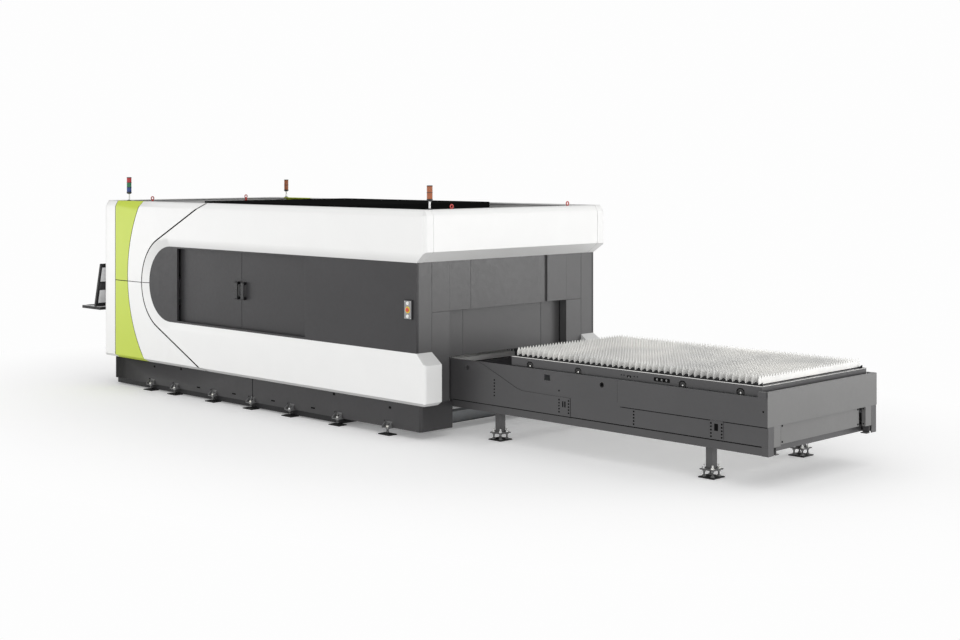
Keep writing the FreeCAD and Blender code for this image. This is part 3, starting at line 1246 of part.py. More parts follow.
def build_all():
    """Write every node of the machine."""
    os.makedirs("parts", exist_ok=True)
    build_shell()
    build_side_walls()
    build_end_walls()
    build_end_door()
    build_front_doors()
    build_plinth()
    build_frame()
    build_bed()
    build_roof()
    build_gantry()
    build_carriage()
    build_cabinet()
    build_pallet("upper", PALLET_X, UPPER_TRACK_Z, slat_outline(), comb)
    build_pallet("lower", PALLET_X - PALLET_TRAVEL, LOWER_TRACK_Z, plain_outline(), slat_bearer)
    build_tracks()
    build_table_sides()
    build_table_guard()
    build_table_end()
    build_subframe()
    build_legs()
    build_feet()
    build_drive()
    build_lamps()
    build_eyes()
    build_controls()
    build_console()


build_all()
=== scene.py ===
import json
import math
import random

import bmesh
import bpy
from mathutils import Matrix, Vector


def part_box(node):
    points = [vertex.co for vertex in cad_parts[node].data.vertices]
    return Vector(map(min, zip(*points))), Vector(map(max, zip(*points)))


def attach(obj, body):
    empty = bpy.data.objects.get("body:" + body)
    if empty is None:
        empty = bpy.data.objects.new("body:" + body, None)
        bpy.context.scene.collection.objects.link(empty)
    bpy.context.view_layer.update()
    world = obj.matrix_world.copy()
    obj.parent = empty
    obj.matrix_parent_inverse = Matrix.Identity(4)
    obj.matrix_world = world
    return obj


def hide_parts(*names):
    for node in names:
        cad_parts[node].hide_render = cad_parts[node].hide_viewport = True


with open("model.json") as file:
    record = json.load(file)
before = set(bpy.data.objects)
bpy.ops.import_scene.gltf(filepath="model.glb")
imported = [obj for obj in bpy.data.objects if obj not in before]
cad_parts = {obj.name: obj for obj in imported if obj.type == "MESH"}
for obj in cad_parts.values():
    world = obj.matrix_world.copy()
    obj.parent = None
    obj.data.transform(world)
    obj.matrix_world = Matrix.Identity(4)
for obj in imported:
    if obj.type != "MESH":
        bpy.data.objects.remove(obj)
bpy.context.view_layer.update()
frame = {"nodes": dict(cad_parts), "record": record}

# Looks of the sheet-cutting machine.  Metres, +Z up, -Y is the operator's long
# side, +X the end with the pallet table.  Sizes and places come from the frame's
# boxes; the small marks along the table are placed from the cabin's end wall.

NODES = frame["nodes"]
BOXES = {node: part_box(node) for node in NODES}
SLOT_OF = {part["node"]: part["material_slot"] for part in frame["record"]["subparts"]}
RNG = random.Random(7)
SIDES = (-1, 1)
ALONG, ACROSS, UP = (1, 0, 0), (0, 1, 0), (0, 0, 1)


def lo(node):
    """Low corner of a node's box."""
    return BOXES[node][0]


def hi(node):
    """High corner of a node's box."""
    return BOXES[node][1]


def centre_of(node):
    """Centre of a node's box."""
    return [(low + high) / 2 for low, high in zip(*BOXES[node])]


def half_width(node):
    """Distance of a node's long side from the middle plane."""
    return abs(lo(node).y)


WALL_X = hi("front_fixed_panel").x


# ---- materials
COAT_ROUGHNESS = 0.12
SHEEN_ROUGHNESS = 0.45
NOISE_ROUGHNESS = 0.55
NOISE_RANGE = (0.3, 0.7)
TONE_SCALE = 1.7
GLOSS_SCALE = 23.0
DUST_SCALE = 9.0
STREAK_SCALE = 60.0
STREAK_RANGE = (0.35, 0.7)
STREAK_DARK = 0.55
BUMP_DEPTH = 0.0006
# Spans of the normal's Z over which a face that leans down or up gets darker, as painted shade.
LEAN_DOWN = (-0.26, -0.03)
LEAN_UP = (0.32, 0.60)
LEAN_DARK = 0.5
# A Mix node's colour sockets, which share their names with others.
MIX_FIRST, MIX_SECOND, MIX_OUTPUT = 6, 7, 2


def feed(node, values):
    """Number, colour or another node's output for each named socket of a node."""
    for socket, value in values.items():
        if isinstance(value, bpy.types.NodeSocket):
            node.id_data.links.new(value, node.inputs[socket])
        else:
            node.inputs[socket].default_value = value


def add_node(tree, kind, **values):
    """Fed shader node of a kind; a value's name is its socket's, with _ for a space."""
    node = tree.nodes.new("ShaderNode" + kind)
    feed(node, {name.replace("_", " "): value for name, value in values.items()})
    return node


def remap(tree, source, span, low, high):
    """Value of a source over a span, remapped to run from low to high."""
    node = add_node(tree, "MapRange", Value=source, From_Min=span[0], From_Max=span[1],
                    To_Min=low, To_Max=high)
    return node.outputs["Result"]


def noise(tree, coords, scale, detail, stretch=None):
    """Noise in object space, stretched along an axis if asked."""
    if stretch:
        coords = add_node(tree, "Mapping", Vector=coords, Scale=stretch).outputs["Vector"]
    node = add_node(tree, "TexNoise", Vector=coords, Scale=scale, Detail=detail,
                    Roughness=NOISE_ROUGHNESS)
    return node.outputs["Fac"]


def mixed(tree, fac, first, second):
    """Mix of two colours, each a constant or an output."""
    node = add_node(tree, "Mix")
    node.data_type = "RGBA"
    colours = [(*value, 1.0) if isinstance(value, tuple) else value for value in (first, second)]
    feed(node, {0: fac, MIX_FIRST: colours[0], MIX_SECOND: colours[1]})
    return node.outputs[MIX_OUTPUT]


def z_of(tree, vector):
    """Z part of a vector output."""
    return add_node(tree, "SeparateXYZ", Vector=vector).outputs["Z"]


def material(name, color, rough, metal=0.0, tone=0.06, tint=None, grain=0.05, grain_scale=900.0,
             rough_var=0.06, stretch=None, coat=0.0, dust=None, specular=0.5, streak=0.0, sheen=0.0,
             painted_lean_shade=0.0):
    """Painted, metal or plastic surface with tone, gloss and grain from its nodes.

    dust is a colour, the height it reaches and its strength.
    The last argument paints shade: how far faces that lean go to a darker tone.
    """
    mat = bpy.data.materials.new(name)
    mat.use_nodes = True
    tree = mat.node_tree
    coords = add_node(tree, "TexCoord").outputs["Object"]
    darker = tuple(c * (1 - tone) for c in color)
    lighter = tuple(min(1.0, c * (1 + tone)) for c in (tint or color))
    clouds = noise(tree, coords, TONE_SCALE, 4.0)
    base = mixed(tree, remap(tree, clouds, NOISE_RANGE, 0.0, 1.0), darker, lighter)
    if streak:
        lines = noise(tree, coords, STREAK_SCALE, 2.0, stretch)
        dark = tuple(c * STREAK_DARK for c in color)
        base = mixed(tree, remap(tree, lines, STREAK_RANGE, 0.0, streak), base, dark)
    if dust:
        dust_color, reach, strength = dust
        patches = add_node(tree, "Math")
        patches.operation = "MULTIPLY"
        low_down = remap(tree, z_of(tree, coords), (reach, 0.0), 0.0, strength)
        feed(patches, {0: low_down, 1: noise(tree, coords, DUST_SCALE, 5.0)})
        base = mixed(tree, patches.outputs[0], base, dust_color)
    # Painted shade: faces that lean down or up go towards a darker copy of the colour.
    if painted_lean_shade:
        leaning = z_of(tree, add_node(tree, "NewGeometry").outputs["Normal"])
        dark = tuple(c * LEAN_DARK for c in color)
        base = mixed(tree, remap(tree, leaning, LEAN_DOWN, painted_lean_shade, 0.0), base, dark)
        base = mixed(tree, remap(tree, leaning, LEAN_UP, 0.0, painted_lean_shade), base, dark)
    fine = noise(tree, coords, GLOSS_SCALE, 5.0, stretch)
    gloss = remap(tree, fine, NOISE_RANGE, max(0.02, rough - rough_var), min(1.0, rough + rough_var))
    bump = add_node(tree, "Bump", Strength=grain, Distance=BUMP_DEPTH,
                    Height=noise(tree, coords, grain_scale, 2.0, stretch))
    feed(tree.nodes["Principled BSDF"], {
        "Base Color": base, "Roughness": gloss, "Normal": bump.outputs["Normal"], "Metallic": metal,
        "Specular IOR Level": specular, "Coat Weight": coat, "Coat Roughness": COAT_ROUGHNESS,
        "Sheen Weight": sheen, "Sheen Roughness": SHEEN_ROUGHNESS,
    })
    return mat


def lens(name, color):
    """Coloured plastic of a lamp's lens."""
    return material(name, color, 0.22, tone=0.08, coat=0.4)


MATS = {
    # The white coat paints shade on its faces that lean.
    "white_shell": material(
        "white_powder_coat", (0.86, 0.86, 0.852), 0.36, tone=0.012, grain_scale=420,
        dust=((0.66, 0.66, 0.64), 0.50, 0.15), painted_lean_shade=0.42),
    "lime_panel": material(
        "lime_powder_coat", (0.54, 0.655, 0.055), 0.40, tone=0.012, grain=0.004, grain_scale=300,
        rough_var=0.01),
    "dark_wall": material(
        "dark_textured_coat", (0.037, 0.036, 0.038), 0.42, tone=0.05, grain=0.30, grain_scale=1300,
        dust=((0.12, 0.118, 0.112), 0.42, 0.20), specular=0.32),
    "end_grey": material(
        "grey_satin_coat", (0.076, 0.075, 0.076), 0.40, tone=0.05, grain=0.22, grain_scale=1300,
        sheen=0.25),
    "table_grey": material(
        "table_satin_coat", (0.052, 0.051, 0.053), 0.40, grain=0.22, grain_scale=1300,
        dust=((0.14, 0.137, 0.13), 0.5, 0.20), sheen=0.12),
    "black_metal": material(
        "black_coat", (0.010, 0.010, 0.011), 0.50, tone=0.08, grain=0.25, grain_scale=1500, specular=0.3),
    "frame_grey": material(
        "frame_paint", (0.20, 0.21, 0.22), 0.50, tone=0.07, grain=0.2, grain_scale=700,
        dust=((0.10, 0.09, 0.08), 0.9, 0.30)),
    "bare_steel": material(
        "ground_steel", (0.60, 0.60, 0.60), 0.36, metal=0.85, tone=0.10, grain=0.25, grain_scale=260,
        stretch=(1.0, 14.0, 14.0), streak=0.25),
    "zinc_steel": material(
        "zinc_plated", (0.74, 0.75, 0.76), 0.26, metal=1.0, tone=0.10, tint=(0.78, 0.77, 0.70),
        grain=0.10, grain_scale=500),
    "cast_aluminium": material(
        "machined_aluminium", (0.60, 0.61, 0.63), 0.38, metal=0.9, grain=0.2, grain_scale=300,
        stretch=(1.0, 9.0, 1.0)),
    "black_rubber": material(
        "pad_rubber", (0.012, 0.012, 0.012), 0.72, tone=0.2, grain=0.5, grain_scale=420, specular=0.35),
    "black_plastic": material(
        "moulded_plastic", (0.022, 0.022, 0.024), 0.45, grain=0.2, grain_scale=1800),
    "lamp_plastic": lens("amber_lens", (0.36, 0.105, 0.035)),
    "eye_red": material("red_enamel", (0.52, 0.035, 0.025), 0.30, tone=0.08, coat=0.3, grain=0.08),
    "red_plastic": material("red_button", (0.62, 0.025, 0.018), 0.25, tone=0.05, coat=0.3, grain=0.04),
    "white_plastic": material("white_button", (0.80, 0.80, 0.78), 0.28, tone=0.03, coat=0.2, grain=0.04),
    "screen_glass": material("screen_glass", (0.012, 0.013, 0.016), 0.10, tone=0.2, coat=0.6, grain=0.01),
}
GREEN_LENS = lens("green_lens", (0.015, 0.17, 0.07))
BLUE_LENS = lens("blue_lens", (0.015, 0.05, 0.20))
RED_LENS = lens("red_lens", (0.42, 0.03, 0.035))
YELLOW_PLASTIC = material("yellow_ring", (0.72, 0.50, 0.04), 0.35, tone=0.05)
PANEL_GREY = material("button_plate", (0.28, 0.28, 0.285), 0.38, metal=0.3, grain=0.1)
PULL_BLACK = material("pull_anodised", (0.010, 0.010, 0.011), 0.30, metal=0.2, tone=0.1, grain=0.1)
# Lit grey of the foot brackets, painted light.
BRACKET_PAINTED_LIGHT = material("bracket_painted_light", (0.17, 0.17, 0.172), 0.42, metal=0.2, tone=0.08, grain=0.2)
# Black of painted shade in seams, slots, holes and shadow lines, and of dark screw heads.
SHADE_AND_SCREW_BLACK = material("hole_shade", (0.005, 0.005, 0.005), 0.9, tone=0.2, grain=0.1, specular=0.05)
ROOF_BLACK = material(
    "roof_coat", (0.020, 0.020, 0.021), 0.90, tone=0.12, grain=0.3, grain_scale=700, specular=0.0)
COVER_BLACK = material(
    "roof_cover_coat", (0.010, 0.010, 0.010), 0.85, tone=0.12, grain=0.3, grain_scale=700, specular=0.0)
# Lighter copy of the table's grey, painted light for faces that look to the +X end.
END_PAINTED_LIGHT = material(
    "end_plate_painted_light", (0.142, 0.141, 0.139), 0.36, tone=0.05, grain=0.2, grain_scale=1300)
# Light grey of a painted highlight along the guard's top edge.
GUARD_LIP_HIGHLIGHT = material("guard_lip_painted_highlight", (0.30, 0.30, 0.30), 0.36, tone=0.05, grain=0.2, grain_scale=1300)
LAMP_POLE = material("lamp_pole", (0.72, 0.72, 0.72), 0.30, metal=0.3, tone=0.05)
# Light grey of painted light on the console's tray tops and back panels.
CONSOLE_PAINTED_LIGHT = material("console_painted_light", (0.72, 0.72, 0.73), 0.36, tone=0.05, grain=0.15)
THREAD_STEEL = material(
    "thread_steel", (0.24, 0.24, 0.24), 0.45, metal=0.8, tone=0.15, grain=0.2, grain_scale=500)
ROLLER_STEEL = material(
    "roller_steel", (0.035, 0.035, 0.035), 0.42, metal=0.5, tone=0.15, grain=0.15, grain_scale=500)
CHAIN_STEEL = material(
    "oiled_steel", (0.30, 0.29, 0.27), 0.40, metal=0.9, tone=0.2, grain=0.3, grain_scale=500)
SLAT_STEEL = material(
    "slat_steel", (0.84, 0.84, 0.825), 0.42, metal=0.2, tone=0.12, tint=(0.88, 0.87, 0.84), grain=0.35,
    grain_scale=220, stretch=(1.0, 1.0, 6.0), streak=0.22, rough_var=0.12)


# ---- carried-over nodes: coats, painted faces, edge radii
COAT_OF = {
    "roof_deck": ROOF_BLACK, "roof_covers": COVER_BLACK,
    "leg_floor_plates": MATS["black_metal"], "table_legs": MATS["end_grey"],
}
SEAMED = ("front_side_shell", "rear_side_shell", "corner_columns", "lime_strip_panels", "shoulder_panels")
EDGE_RADIUS = 0.0025
EDGE_OF = {
    **dict.fromkeys(SEAMED, 0.003), "end_upper_band": 0.005, "operator_end_panel": 0.005,
    "table_sides": 0.002, "table_guards": 0.003, "swept_side_plates": 0.0015,
    "machine_bed": 0.006, "gantry_beam": 0.006, "cabin_frame": 0.006, "table_legs": 0.005,
    "leg_floor_plates": 0.004, "roof_covers": 0.005, "roof_deck": 0.002,
}
EDGE_ANGLE = 32
NORMAL_WEIGHT = 90
WELD_GAP = 0.00002
# Distances from the middle plane of the brackets' and the seams' inner ends.
BRACKET_ROOT = 1.3355
SEAM_ROOT = 1.36
SEAM_LOW, SEAM_HIGH = 0.43, 2.36
SEAM_END = 0.9
SEAM_DEPTH = 0.045
RIM_START = lo("swept_side_plates").x + 0.25


def paint(node, coat, chosen):
    """Further coat on those faces of a carried-over node that pass a test."""
    mesh = NODES[node].data
    mesh.materials.append(coat)
    for face in mesh.polygons:
        corners = [mesh.vertices[index].co for index in face.vertices]
        if chosen(face, sum(corners, Vector()) / len(corners)):
            face.material_index = len(mesh.materials) - 1


def in_seam(face, middle):
    """Narrow wall inside a seam of the outer panels."""
    ys = [abs(face.id_data.vertices[index].co.y) for index in face.vertices]
    wall = abs(face.normal.y) < 0.05 and min(ys) > SEAM_ROOT and max(ys) - min(ys) < SEAM_DEPTH
    return wall and SEAM_LOW < middle.z < SEAM_HIGH and middle.x < SEAM_END


def on_ground_rail(face, middle):
    """Rail under the plinth, inside the foot brackets."""
    return abs(middle.y) <= BRACKET_ROOT and middle.z <= lo("plinth_panels").z


def soften(obj, width, angle, segments=2):
    """Edge radius and weighted normals as modifiers."""
    bevel = obj.modifiers.new("edge", "BEVEL")
    bevel.width = width
    bevel.segments = segments
    bevel.limit_method = "ANGLE"
    bevel.angle_limit = math.radians(angle)
    normals = obj.modifiers.new("normals", "WEIGHTED_NORMAL")
    normals.weight = NORMAL_WEIGHT
    normals.keep_sharp = False


def refine(node):
    """Weld, edge radius and weighted normals on a carried-over node."""
    obj = NODES[node]
    mesh = obj.data
    if "custom_normal" in mesh.attributes:
        mesh.attributes.remove(mesh.attributes["custom_normal"])
    mesh.shade_smooth()
    obj.modifiers.new("weld", "WELD").merge_threshold = WELD_GAP
    soften(obj, EDGE_OF.get(node, EDGE_RADIUS), EDGE_ANGLE)


for node_name, node_object in NODES.items():
    node_object.data.materials.clear()
    node_object.data.materials.append(COAT_OF.get(node_name, MATS[SLOT_OF[node_name]]))
# Painted light: the foot brackets beyond BRACKET_ROOT take a lit grey.
paint("cabin_frame", BRACKET_PAINTED_LIGHT, lambda face, middle: abs(middle.y) > BRACKET_ROOT)
paint("cabin_frame", MATS["black_metal"], on_ground_rail)
# Painted shade: the walls inside the outer panels' seams go black.
for node_name in SEAMED:
    paint(node_name, SHADE_AND_SCREW_BLACK, in_seam)
# Painted light: the guards' faces that look to the +X end take the lighter grey.
paint("table_guards", END_PAINTED_LIGHT, lambda face, middle: face.normal.x > 0.9)
# Painted light: the tray's faces that look up take a light grey.
paint("console_tray", CONSOLE_PAINTED_LIGHT, lambda face, middle: face.normal.z > 0.9)
# Painted shade: the rims of the swept plates past RIM_START go black.
paint("swept_side_plates", SHADE_AND_SCREW_BLACK,
      lambda face, middle: abs(face.normal.y) < 0.5 and middle.x > RIM_START)


# ---- mesh helpers
def new_meshes(count):
    """Empty meshes to build in."""
    return [bmesh.new() for _ in range(count)]


def add_box(bm, low, high):
    """Box between two corners."""
    for vertex in bmesh.ops.create_cube(bm, size=1.0)["verts"]:
        vertex.co = [low[i] + (vertex.co[i] + 0.5) * (high[i] - low[i]) for i in range(3)]


def add_block(bm, side, x, y, z):
    """Box on one side of the middle plane, from its spans along, out and up."""
    low_y, high_y = sorted((side * y[0], side * y[1]))
    add_box(bm, (x[0], low_y, z[0]), (x[1], high_y, z[1]))


def join_rings(bm, rings, ends=True):
    """Faces between neighbouring rings of vertices, where a ring of one is a tip."""
    for first, second in zip(rings, rings[1:]):
        count = max(len(first), len(second))
        for index in range(count):
            after = (index + 1) % count
            if len(first) == 1:
                bm.faces.new((first[0], second[index], second[after]))
            elif len(second) == 1:
                bm.faces.new((first[index], first[after], second[0]))
            else:
                bm.faces.new((first[index], first[after], second[after], second[index]))
    for ring in (rings[0][::-1], rings[-1]):
        if ends and len(ring) > 1:
            bm.faces.new(ring)


def add_outline(bm, points, depth):
    """Closed outline of 3-D points drawn out by a depth vector."""
    near = [bm.verts.new(point) for point in points]
    far = [bm.verts.new(Vector(point) + Vector(depth)) for point in points]
    join_rings(bm, [near, far])


def axes_of(axis):
    """Unit axis and two unit vectors square to it."""
    axis = Vector(axis).normalized()
    side = axis.orthogonal().normalized()
    return axis, side, axis.cross(side)


def add_turned(bm, base, axis, profile, sides=24, turn=0.0):
    """Profile of (radius, height) pairs turned about an axis through base."""
    axis, side, other = axes_of(axis)
    rings = []
    for radius, height in profile:
        centre = Vector(base) + axis * height
        ring = []
        for index in range(sides if radius else 1):
            angle = math.tau * (index + turn) / sides
            ring.append(bm.verts.new(centre + (side * math.cos(angle) + other * math.sin(angle)) * radius))
        rings.append(ring)
    join_rings(bm, rings)


def add_hex(bm, base, axis, radius, height, turn=0.0):
    """Hexagon head with a chamfered crown."""
    soft = min(0.15 * radius, 0.3 * height)
    add_turned(bm, base, axis, ((radius, 0), (radius, height - soft), (radius * 0.86, height)), 6, turn)


def add_bolt(bm, base, axis, radius, height, tail=0.0):
    """Bolt head on its washer, with the thread's end standing out if asked."""
    washer, head = 0.2 * height, 0.8 * height
    add_turned(bm, base, axis, ((radius * 1.35, 0), (radius * 1.35, washer)), 20)
    seat = Vector(base) + Vector(axis) * washer
    add_hex(bm, seat, axis, radius, head, RNG.random())
    if tail:
        thread = ((radius * 0.55, 0), (radius * 0.55, tail * 0.9), (radius * 0.45, tail))
        add_turned(bm, seat + Vector(axis) * head, axis, thread, 12)


def add_screw(bm, base, axis, radius=0.0085):
    """Low domed screw head."""
    add_turned(bm, base, axis, ((radius, 0), (radius, 0.0022), (radius * 0.7, 0.0036), (0.0, 0.0038)), 16)


def add_thread(bm, base, axis, radius, length, pitch):
    """Threaded bar, one ridge each pitch."""
    root = radius * 0.88
    count = max(2, int(length / pitch))
    profile = []
    for index in range(count):
        profile += [(root, length * index / count), (radius, length * (index + 0.5) / count)]
    profile.append((root, length))
    add_turned(bm, base, axis, profile, 14)


def add_torus(bm, centre, axis, major, minor, major_steps=28, minor_steps=12):
    """Ring round an axis."""
    axis, side, other = axes_of(axis)
    rings = []
    for i in range(major_steps):
        angle = math.tau * i / major_steps
        out = side * math.cos(angle) + other * math.sin(angle)
        ring = []
        for j in range(minor_steps):
            swing = math.tau * j / minor_steps
            offset = out * (major + minor * math.cos(swing)) + axis * (minor * math.sin(swing))
            ring.append(bm.verts.new(Vector(centre) + offset))
        rings.append(ring)
    join_rings(bm, rings + rings[:1], ends=False)


def link_object(name, data):
    """Object of the scene for a mesh, a light or a camera."""
    obj = bpy.data.objects.new(name, data)
    bpy.context.scene.collection.objects.link(obj)
    return obj


def link_mesh(name, bm, coat):
    """Object of the scene from a finished mesh and its coat."""
    mesh = bpy.data.meshes.new(name)
    bm.to_mesh(mesh)
    bm.free()
    mesh.materials.append(coat)
    return link_object(name, mesh)


def piece(name, bm, slot, coat=None, body="machine", edge=0.0, smooth=35.0, replaces=None, segments=2):
    """Piece from a mesh, with its coat (the slot's material if none is given), body, edge radius and
    shading.
    """
    bmesh.ops.recalc_face_normals(bm, faces=bm.faces)
    for face in bm.faces:
        face.smooth = True
    for link in bm.edges:
        if len(link.link_faces) != 2 or link.calc_face_angle(0.0) > math.radians(smooth):
            link.smooth = False
    obj = link_mesh(name, bm, coat or MATS[slot])
    if edge:
        soften(obj, edge, smooth, segments)
    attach(obj, body)
    if replaces:
        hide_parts(replaces)


def clumps(node, gap):
    """Middle x, middle y, foot z and top z of a node's separate clumps, as seen from above."""
    found = []
    for vertex in NODES[node].data.vertices:
        point = vertex.co
        for low, high in found:
            if all(low[axis] - gap < point[axis] < high[axis] + gap for axis in (0, 1)):
                for axis in range(3):
                    low[axis] = min(low[axis], point[axis])
                    high[axis] = max(high[axis], point[axis])
                break
        else:
            found.append((list(point), list(point)))
    return [((low[0] + high[0]) / 2, (low[1] + high[1]) / 2, low[2], high[2]) for low, high in found]


# ---- slats with their full tooth pitch
TOOTH = 0.043
TOOTH_DEPTH = 0.034
TOOTH_WEAR = 0.0035
TIP_START, TIP_END = 0.46, 0.54
TIP_BAND = 0.012
SLAT_GAUGE = 0.004
SLAT_FOOT = 0.010
COMB_CREST = 0.030
COMB_VALLEY = 0.0085
COMB_SEAT = 0.0024
COMB_LAND = 0.004
COMB_THICK = 0.008
COMB_INSET = 0.008
COMB_BOLT_Z = 0.018


def slat_places(node):
    """Middle of each slat along X, from the node's own vertices."""
    tips = hi(node).z - TIP_BAND
    xs = sorted({round(vertex.co.x, 4) for vertex in NODES[node].data.vertices if vertex.co.z > tips})
    groups = [[xs[0]]]
    for x in xs[1:]:
        if x - groups[-1][-1] > 0.02:
            groups.append([x])
        else:
            groups[-1].append(x)
    return [(group[0] + group[-1]) / 2 for group in groups]


def build_slats(node, name, body):
    """Saw-tooth slats standing in notched strips."""
    low, high = lo(node), hi(node)
    half = high.y
    floor_z = low.z + SLAT_FOOT
    valley_z = high.z - TOOTH_DEPTH
    count = int(2 * half / TOOTH)
    step = 2 * half / count
    places = slat_places(node)
    slats = bmesh.new()
    for middle in places:
        x = middle - SLAT_GAUGE / 2
        points = [(x, -half, floor_z), (x, half, floor_z)]
        for index in range(count):
            right = half - index * step
            tip = high.z - RNG.random() ** 3 * TOOTH_WEAR
            points.append((x, right, valley_z))
            points.append((x, right - step * TIP_START, tip))
            points.append((x, right - step * TIP_END, tip))
        points.append((x, -half, valley_z))
        add_outline(slats, points, (SLAT_GAUGE, 0, 0))
    piece(name, slats, "bare_steel", SLAT_STEEL, body, smooth=20, replaces=node)

    half_pitch = (places[1] - places[0]) / 2
    start, end = places[0] - half_pitch, places[-1] + half_pitch
    crest, seat = low.z + COMB_CREST, low.z + COMB_VALLEY
    combs = bmesh.new()
    for side in SIDES:
        y = side * (half - COMB_INSET)
        points = [(start, y, low.z), (start, y, crest)]
        for x in places:
            points += [(x - COMB_SEAT, y, seat), (x + COMB_SEAT, y, seat)]
            points += [(x + half_pitch - COMB_LAND, y, crest), (x + half_pitch + COMB_LAND, y, crest)]
        points[-1] = (end, y, crest)
        points.append((end, y, low.z))
        add_outline(combs, points, (0, -side * COMB_THICK, 0))
        for first, second in list(zip(places, places[1:]))[1::3]:
            base = ((first + second) / 2, y, low.z + COMB_BOLT_Z)
            add_bolt(combs, base, (0, side, 0), 0.0055, 0.0045)
    piece(name + "_combs", combs, "bare_steel", MATS["black_metal"], body, smooth=30)


build_slats("upper_pallet_slats", "sawtooth_slats_upper", "upper_pallet")
build_slats("lower_pallet_slats", "sawtooth_slats_lower", "lower_pallet")


# ---- rollers
ROLLER_WIDTH = 0.032
ROLLER_BORE = 0.014
# Ring of a roller's outer face: share of its radius, depth under its full width.
ROLLER_FACE = ((1.0, 0.004), (0.95, 0.002), (0.62, 0.002), (0.58, 0.006), (0.36, 0.006), (0.34, 0.003),
               (0.0, 0.003))


def build_rollers(node, name, body):
    """Turned rollers with a bearing cap and a stud nut."""
    low, high = lo(node), hi(node)
    z = centre_of(node)[2]
    radius = (high.z - low.z) / 2
    profile = [(ROLLER_BORE, 0), (radius * 0.93, 0), (radius, 0.002)]
    profile += [(radius * share, ROLLER_WIDTH - under) for share, under in ROLLER_FACE]
    rollers, nuts = new_meshes(2)
    for x, y, _, _ in clumps(node, 2.2 * radius):
        side = 1 if y > 0 else -1
        add_turned(rollers, (x, side * (high.y - ROLLER_WIDTH), z), (0, side, 0), profile, 40)
        add_hex(nuts, (x, side * (high.y - 0.0035), z), (0, side, 0), 0.0085, 0.0033)
    piece(name, rollers, "zinc_steel", ROLLER_STEEL, body, smooth=32, replaces=node)
    piece(name + "_nuts", nuts, "zinc_steel", body=body, smooth=32)


build_rollers("upper_pallet_wheels", "track_rollers_upper", "upper_pallet")
build_rollers("lower_pallet_wheels", "track_rollers_lower", "lower_pallet")


# ---- levelling feet and the jack bolts of the table's legs
PAD_X, PAD_Y = 0.0895, 0.0595
PAD_RINGS = ((0.004, 0.0), (0.0, 0.003), (0.0, 0.009), (0.004, 0.012), (0.030, 0.0135))
PAD_BOSS = ((0.026, 0), (0.026, 0.004), (0.019, 0.010), (0.019, 0.013))
STUD_FOOT = 0.020
STUD_RISE = 0.032
STUD_RADIUS = 0.0125
STUD_TIP = ((0.0110, 0), (0.0110, 0.004), (0.0085, 0.007))
NUT_RADIUS = 0.021
NUT_HEIGHT = 0.014
LEG_STUD_RADIUS = 0.0085
LEG_NUT_RADIUS = 0.0165
CORNERS = ((-1, -1), (1, -1), (1, 1), (-1, 1))


def add_pad(bm, x, y):
    """Rubber pad with a rounded foot and a sloping crown."""
    rings = []
    for inset, z in PAD_RINGS:
        half_x, half_y = PAD_X - inset, PAD_Y - inset
        rings.append([bm.verts.new((x + sx * half_x, y + sy * half_y, z)) for sx, sy in CORNERS])
    join_rings(bm, rings)


def build_feet():
    """Pads, threaded jacks through their brackets, and lock nuts."""
    pads, jacks, studs = new_meshes(3)
    under = hi("levelling_feet").z
    over = lo("plinth_panels").z
    stud_top = over + STUD_RISE
    for x, y, _, _ in clumps("levelling_feet", 0.2):
        add_pad(pads, x, y)
        add_turned(pads, (x, y, 0.0125), UP, PAD_BOSS)
        add_thread(studs, (x, y, STUD_FOOT), UP, STUD_RADIUS, stud_top - STUD_FOOT, 0.003)
        add_turned(studs, (x, y, stud_top), UP, STUD_TIP, 14)
        add_hex(studs, (x, y, under - 0.0145), UP, NUT_RADIUS, NUT_HEIGHT, RNG.random())
        add_hex(studs, (x, y, 0.028), UP, 0.018, 0.010, RNG.random())
        add_bolt(jacks, (x, y, over), UP, NUT_RADIUS, 0.018)
    piece("levelling_pads", pads, "black_rubber", edge=0.003, replaces="levelling_feet")
    piece("levelling_studs", studs, "zinc_steel", THREAD_STEEL, smooth=30)
    piece("levelling_jacks", jacks, "zinc_steel", smooth=30)


def build_leg_bolts():
    """Jack bolts of the four legs: threads, nuts under and over the collar."""
    foot, collar = lo("leg_jack_bolts").z, hi("leg_jack_bolts").z
    heads, studs = new_meshes(2)
    for x, y, _, _ in clumps("leg_jack_bolts", 0.02):
        add_thread(studs, (x, y, foot), UP, LEG_STUD_RADIUS, collar - foot, 0.0025)
        add_bolt(studs, (x, y, foot), UP, LEG_NUT_RADIUS, 0.016)
        add_hex(studs, (x, y, collar - 0.0145), UP, LEG_NUT_RADIUS, NUT_HEIGHT, RNG.random())
        add_bolt(heads, (x, y, collar + 0.012), UP, LEG_NUT_RADIUS, 0.017, tail=0.022)
    piece("leg_jack_hardware", heads, "zinc_steel", smooth=30, replaces="leg_jack_bolts")
    piece("leg_jack_studs", studs, "zinc_steel", THREAD_STEEL, smooth=30)


build_feet()
build_leg_bolts()


# ---- signal lamps and lifting eyes
LAMP_RADIUS = 0.0318
LAMP_RIBS = 9
LAMP_BASE = ((0.030, 0), (0.030, 0.004), (0.016, 0.010), (0.0120, 0.013))
TALL_POLE, SHORT_POLE = 0.091, 0.087
CUP_HEIGHT = 0.024
CAP_HEIGHT = 0.010
EYE_RADIUS, EYE_GAUGE = 0.0200, 0.0068


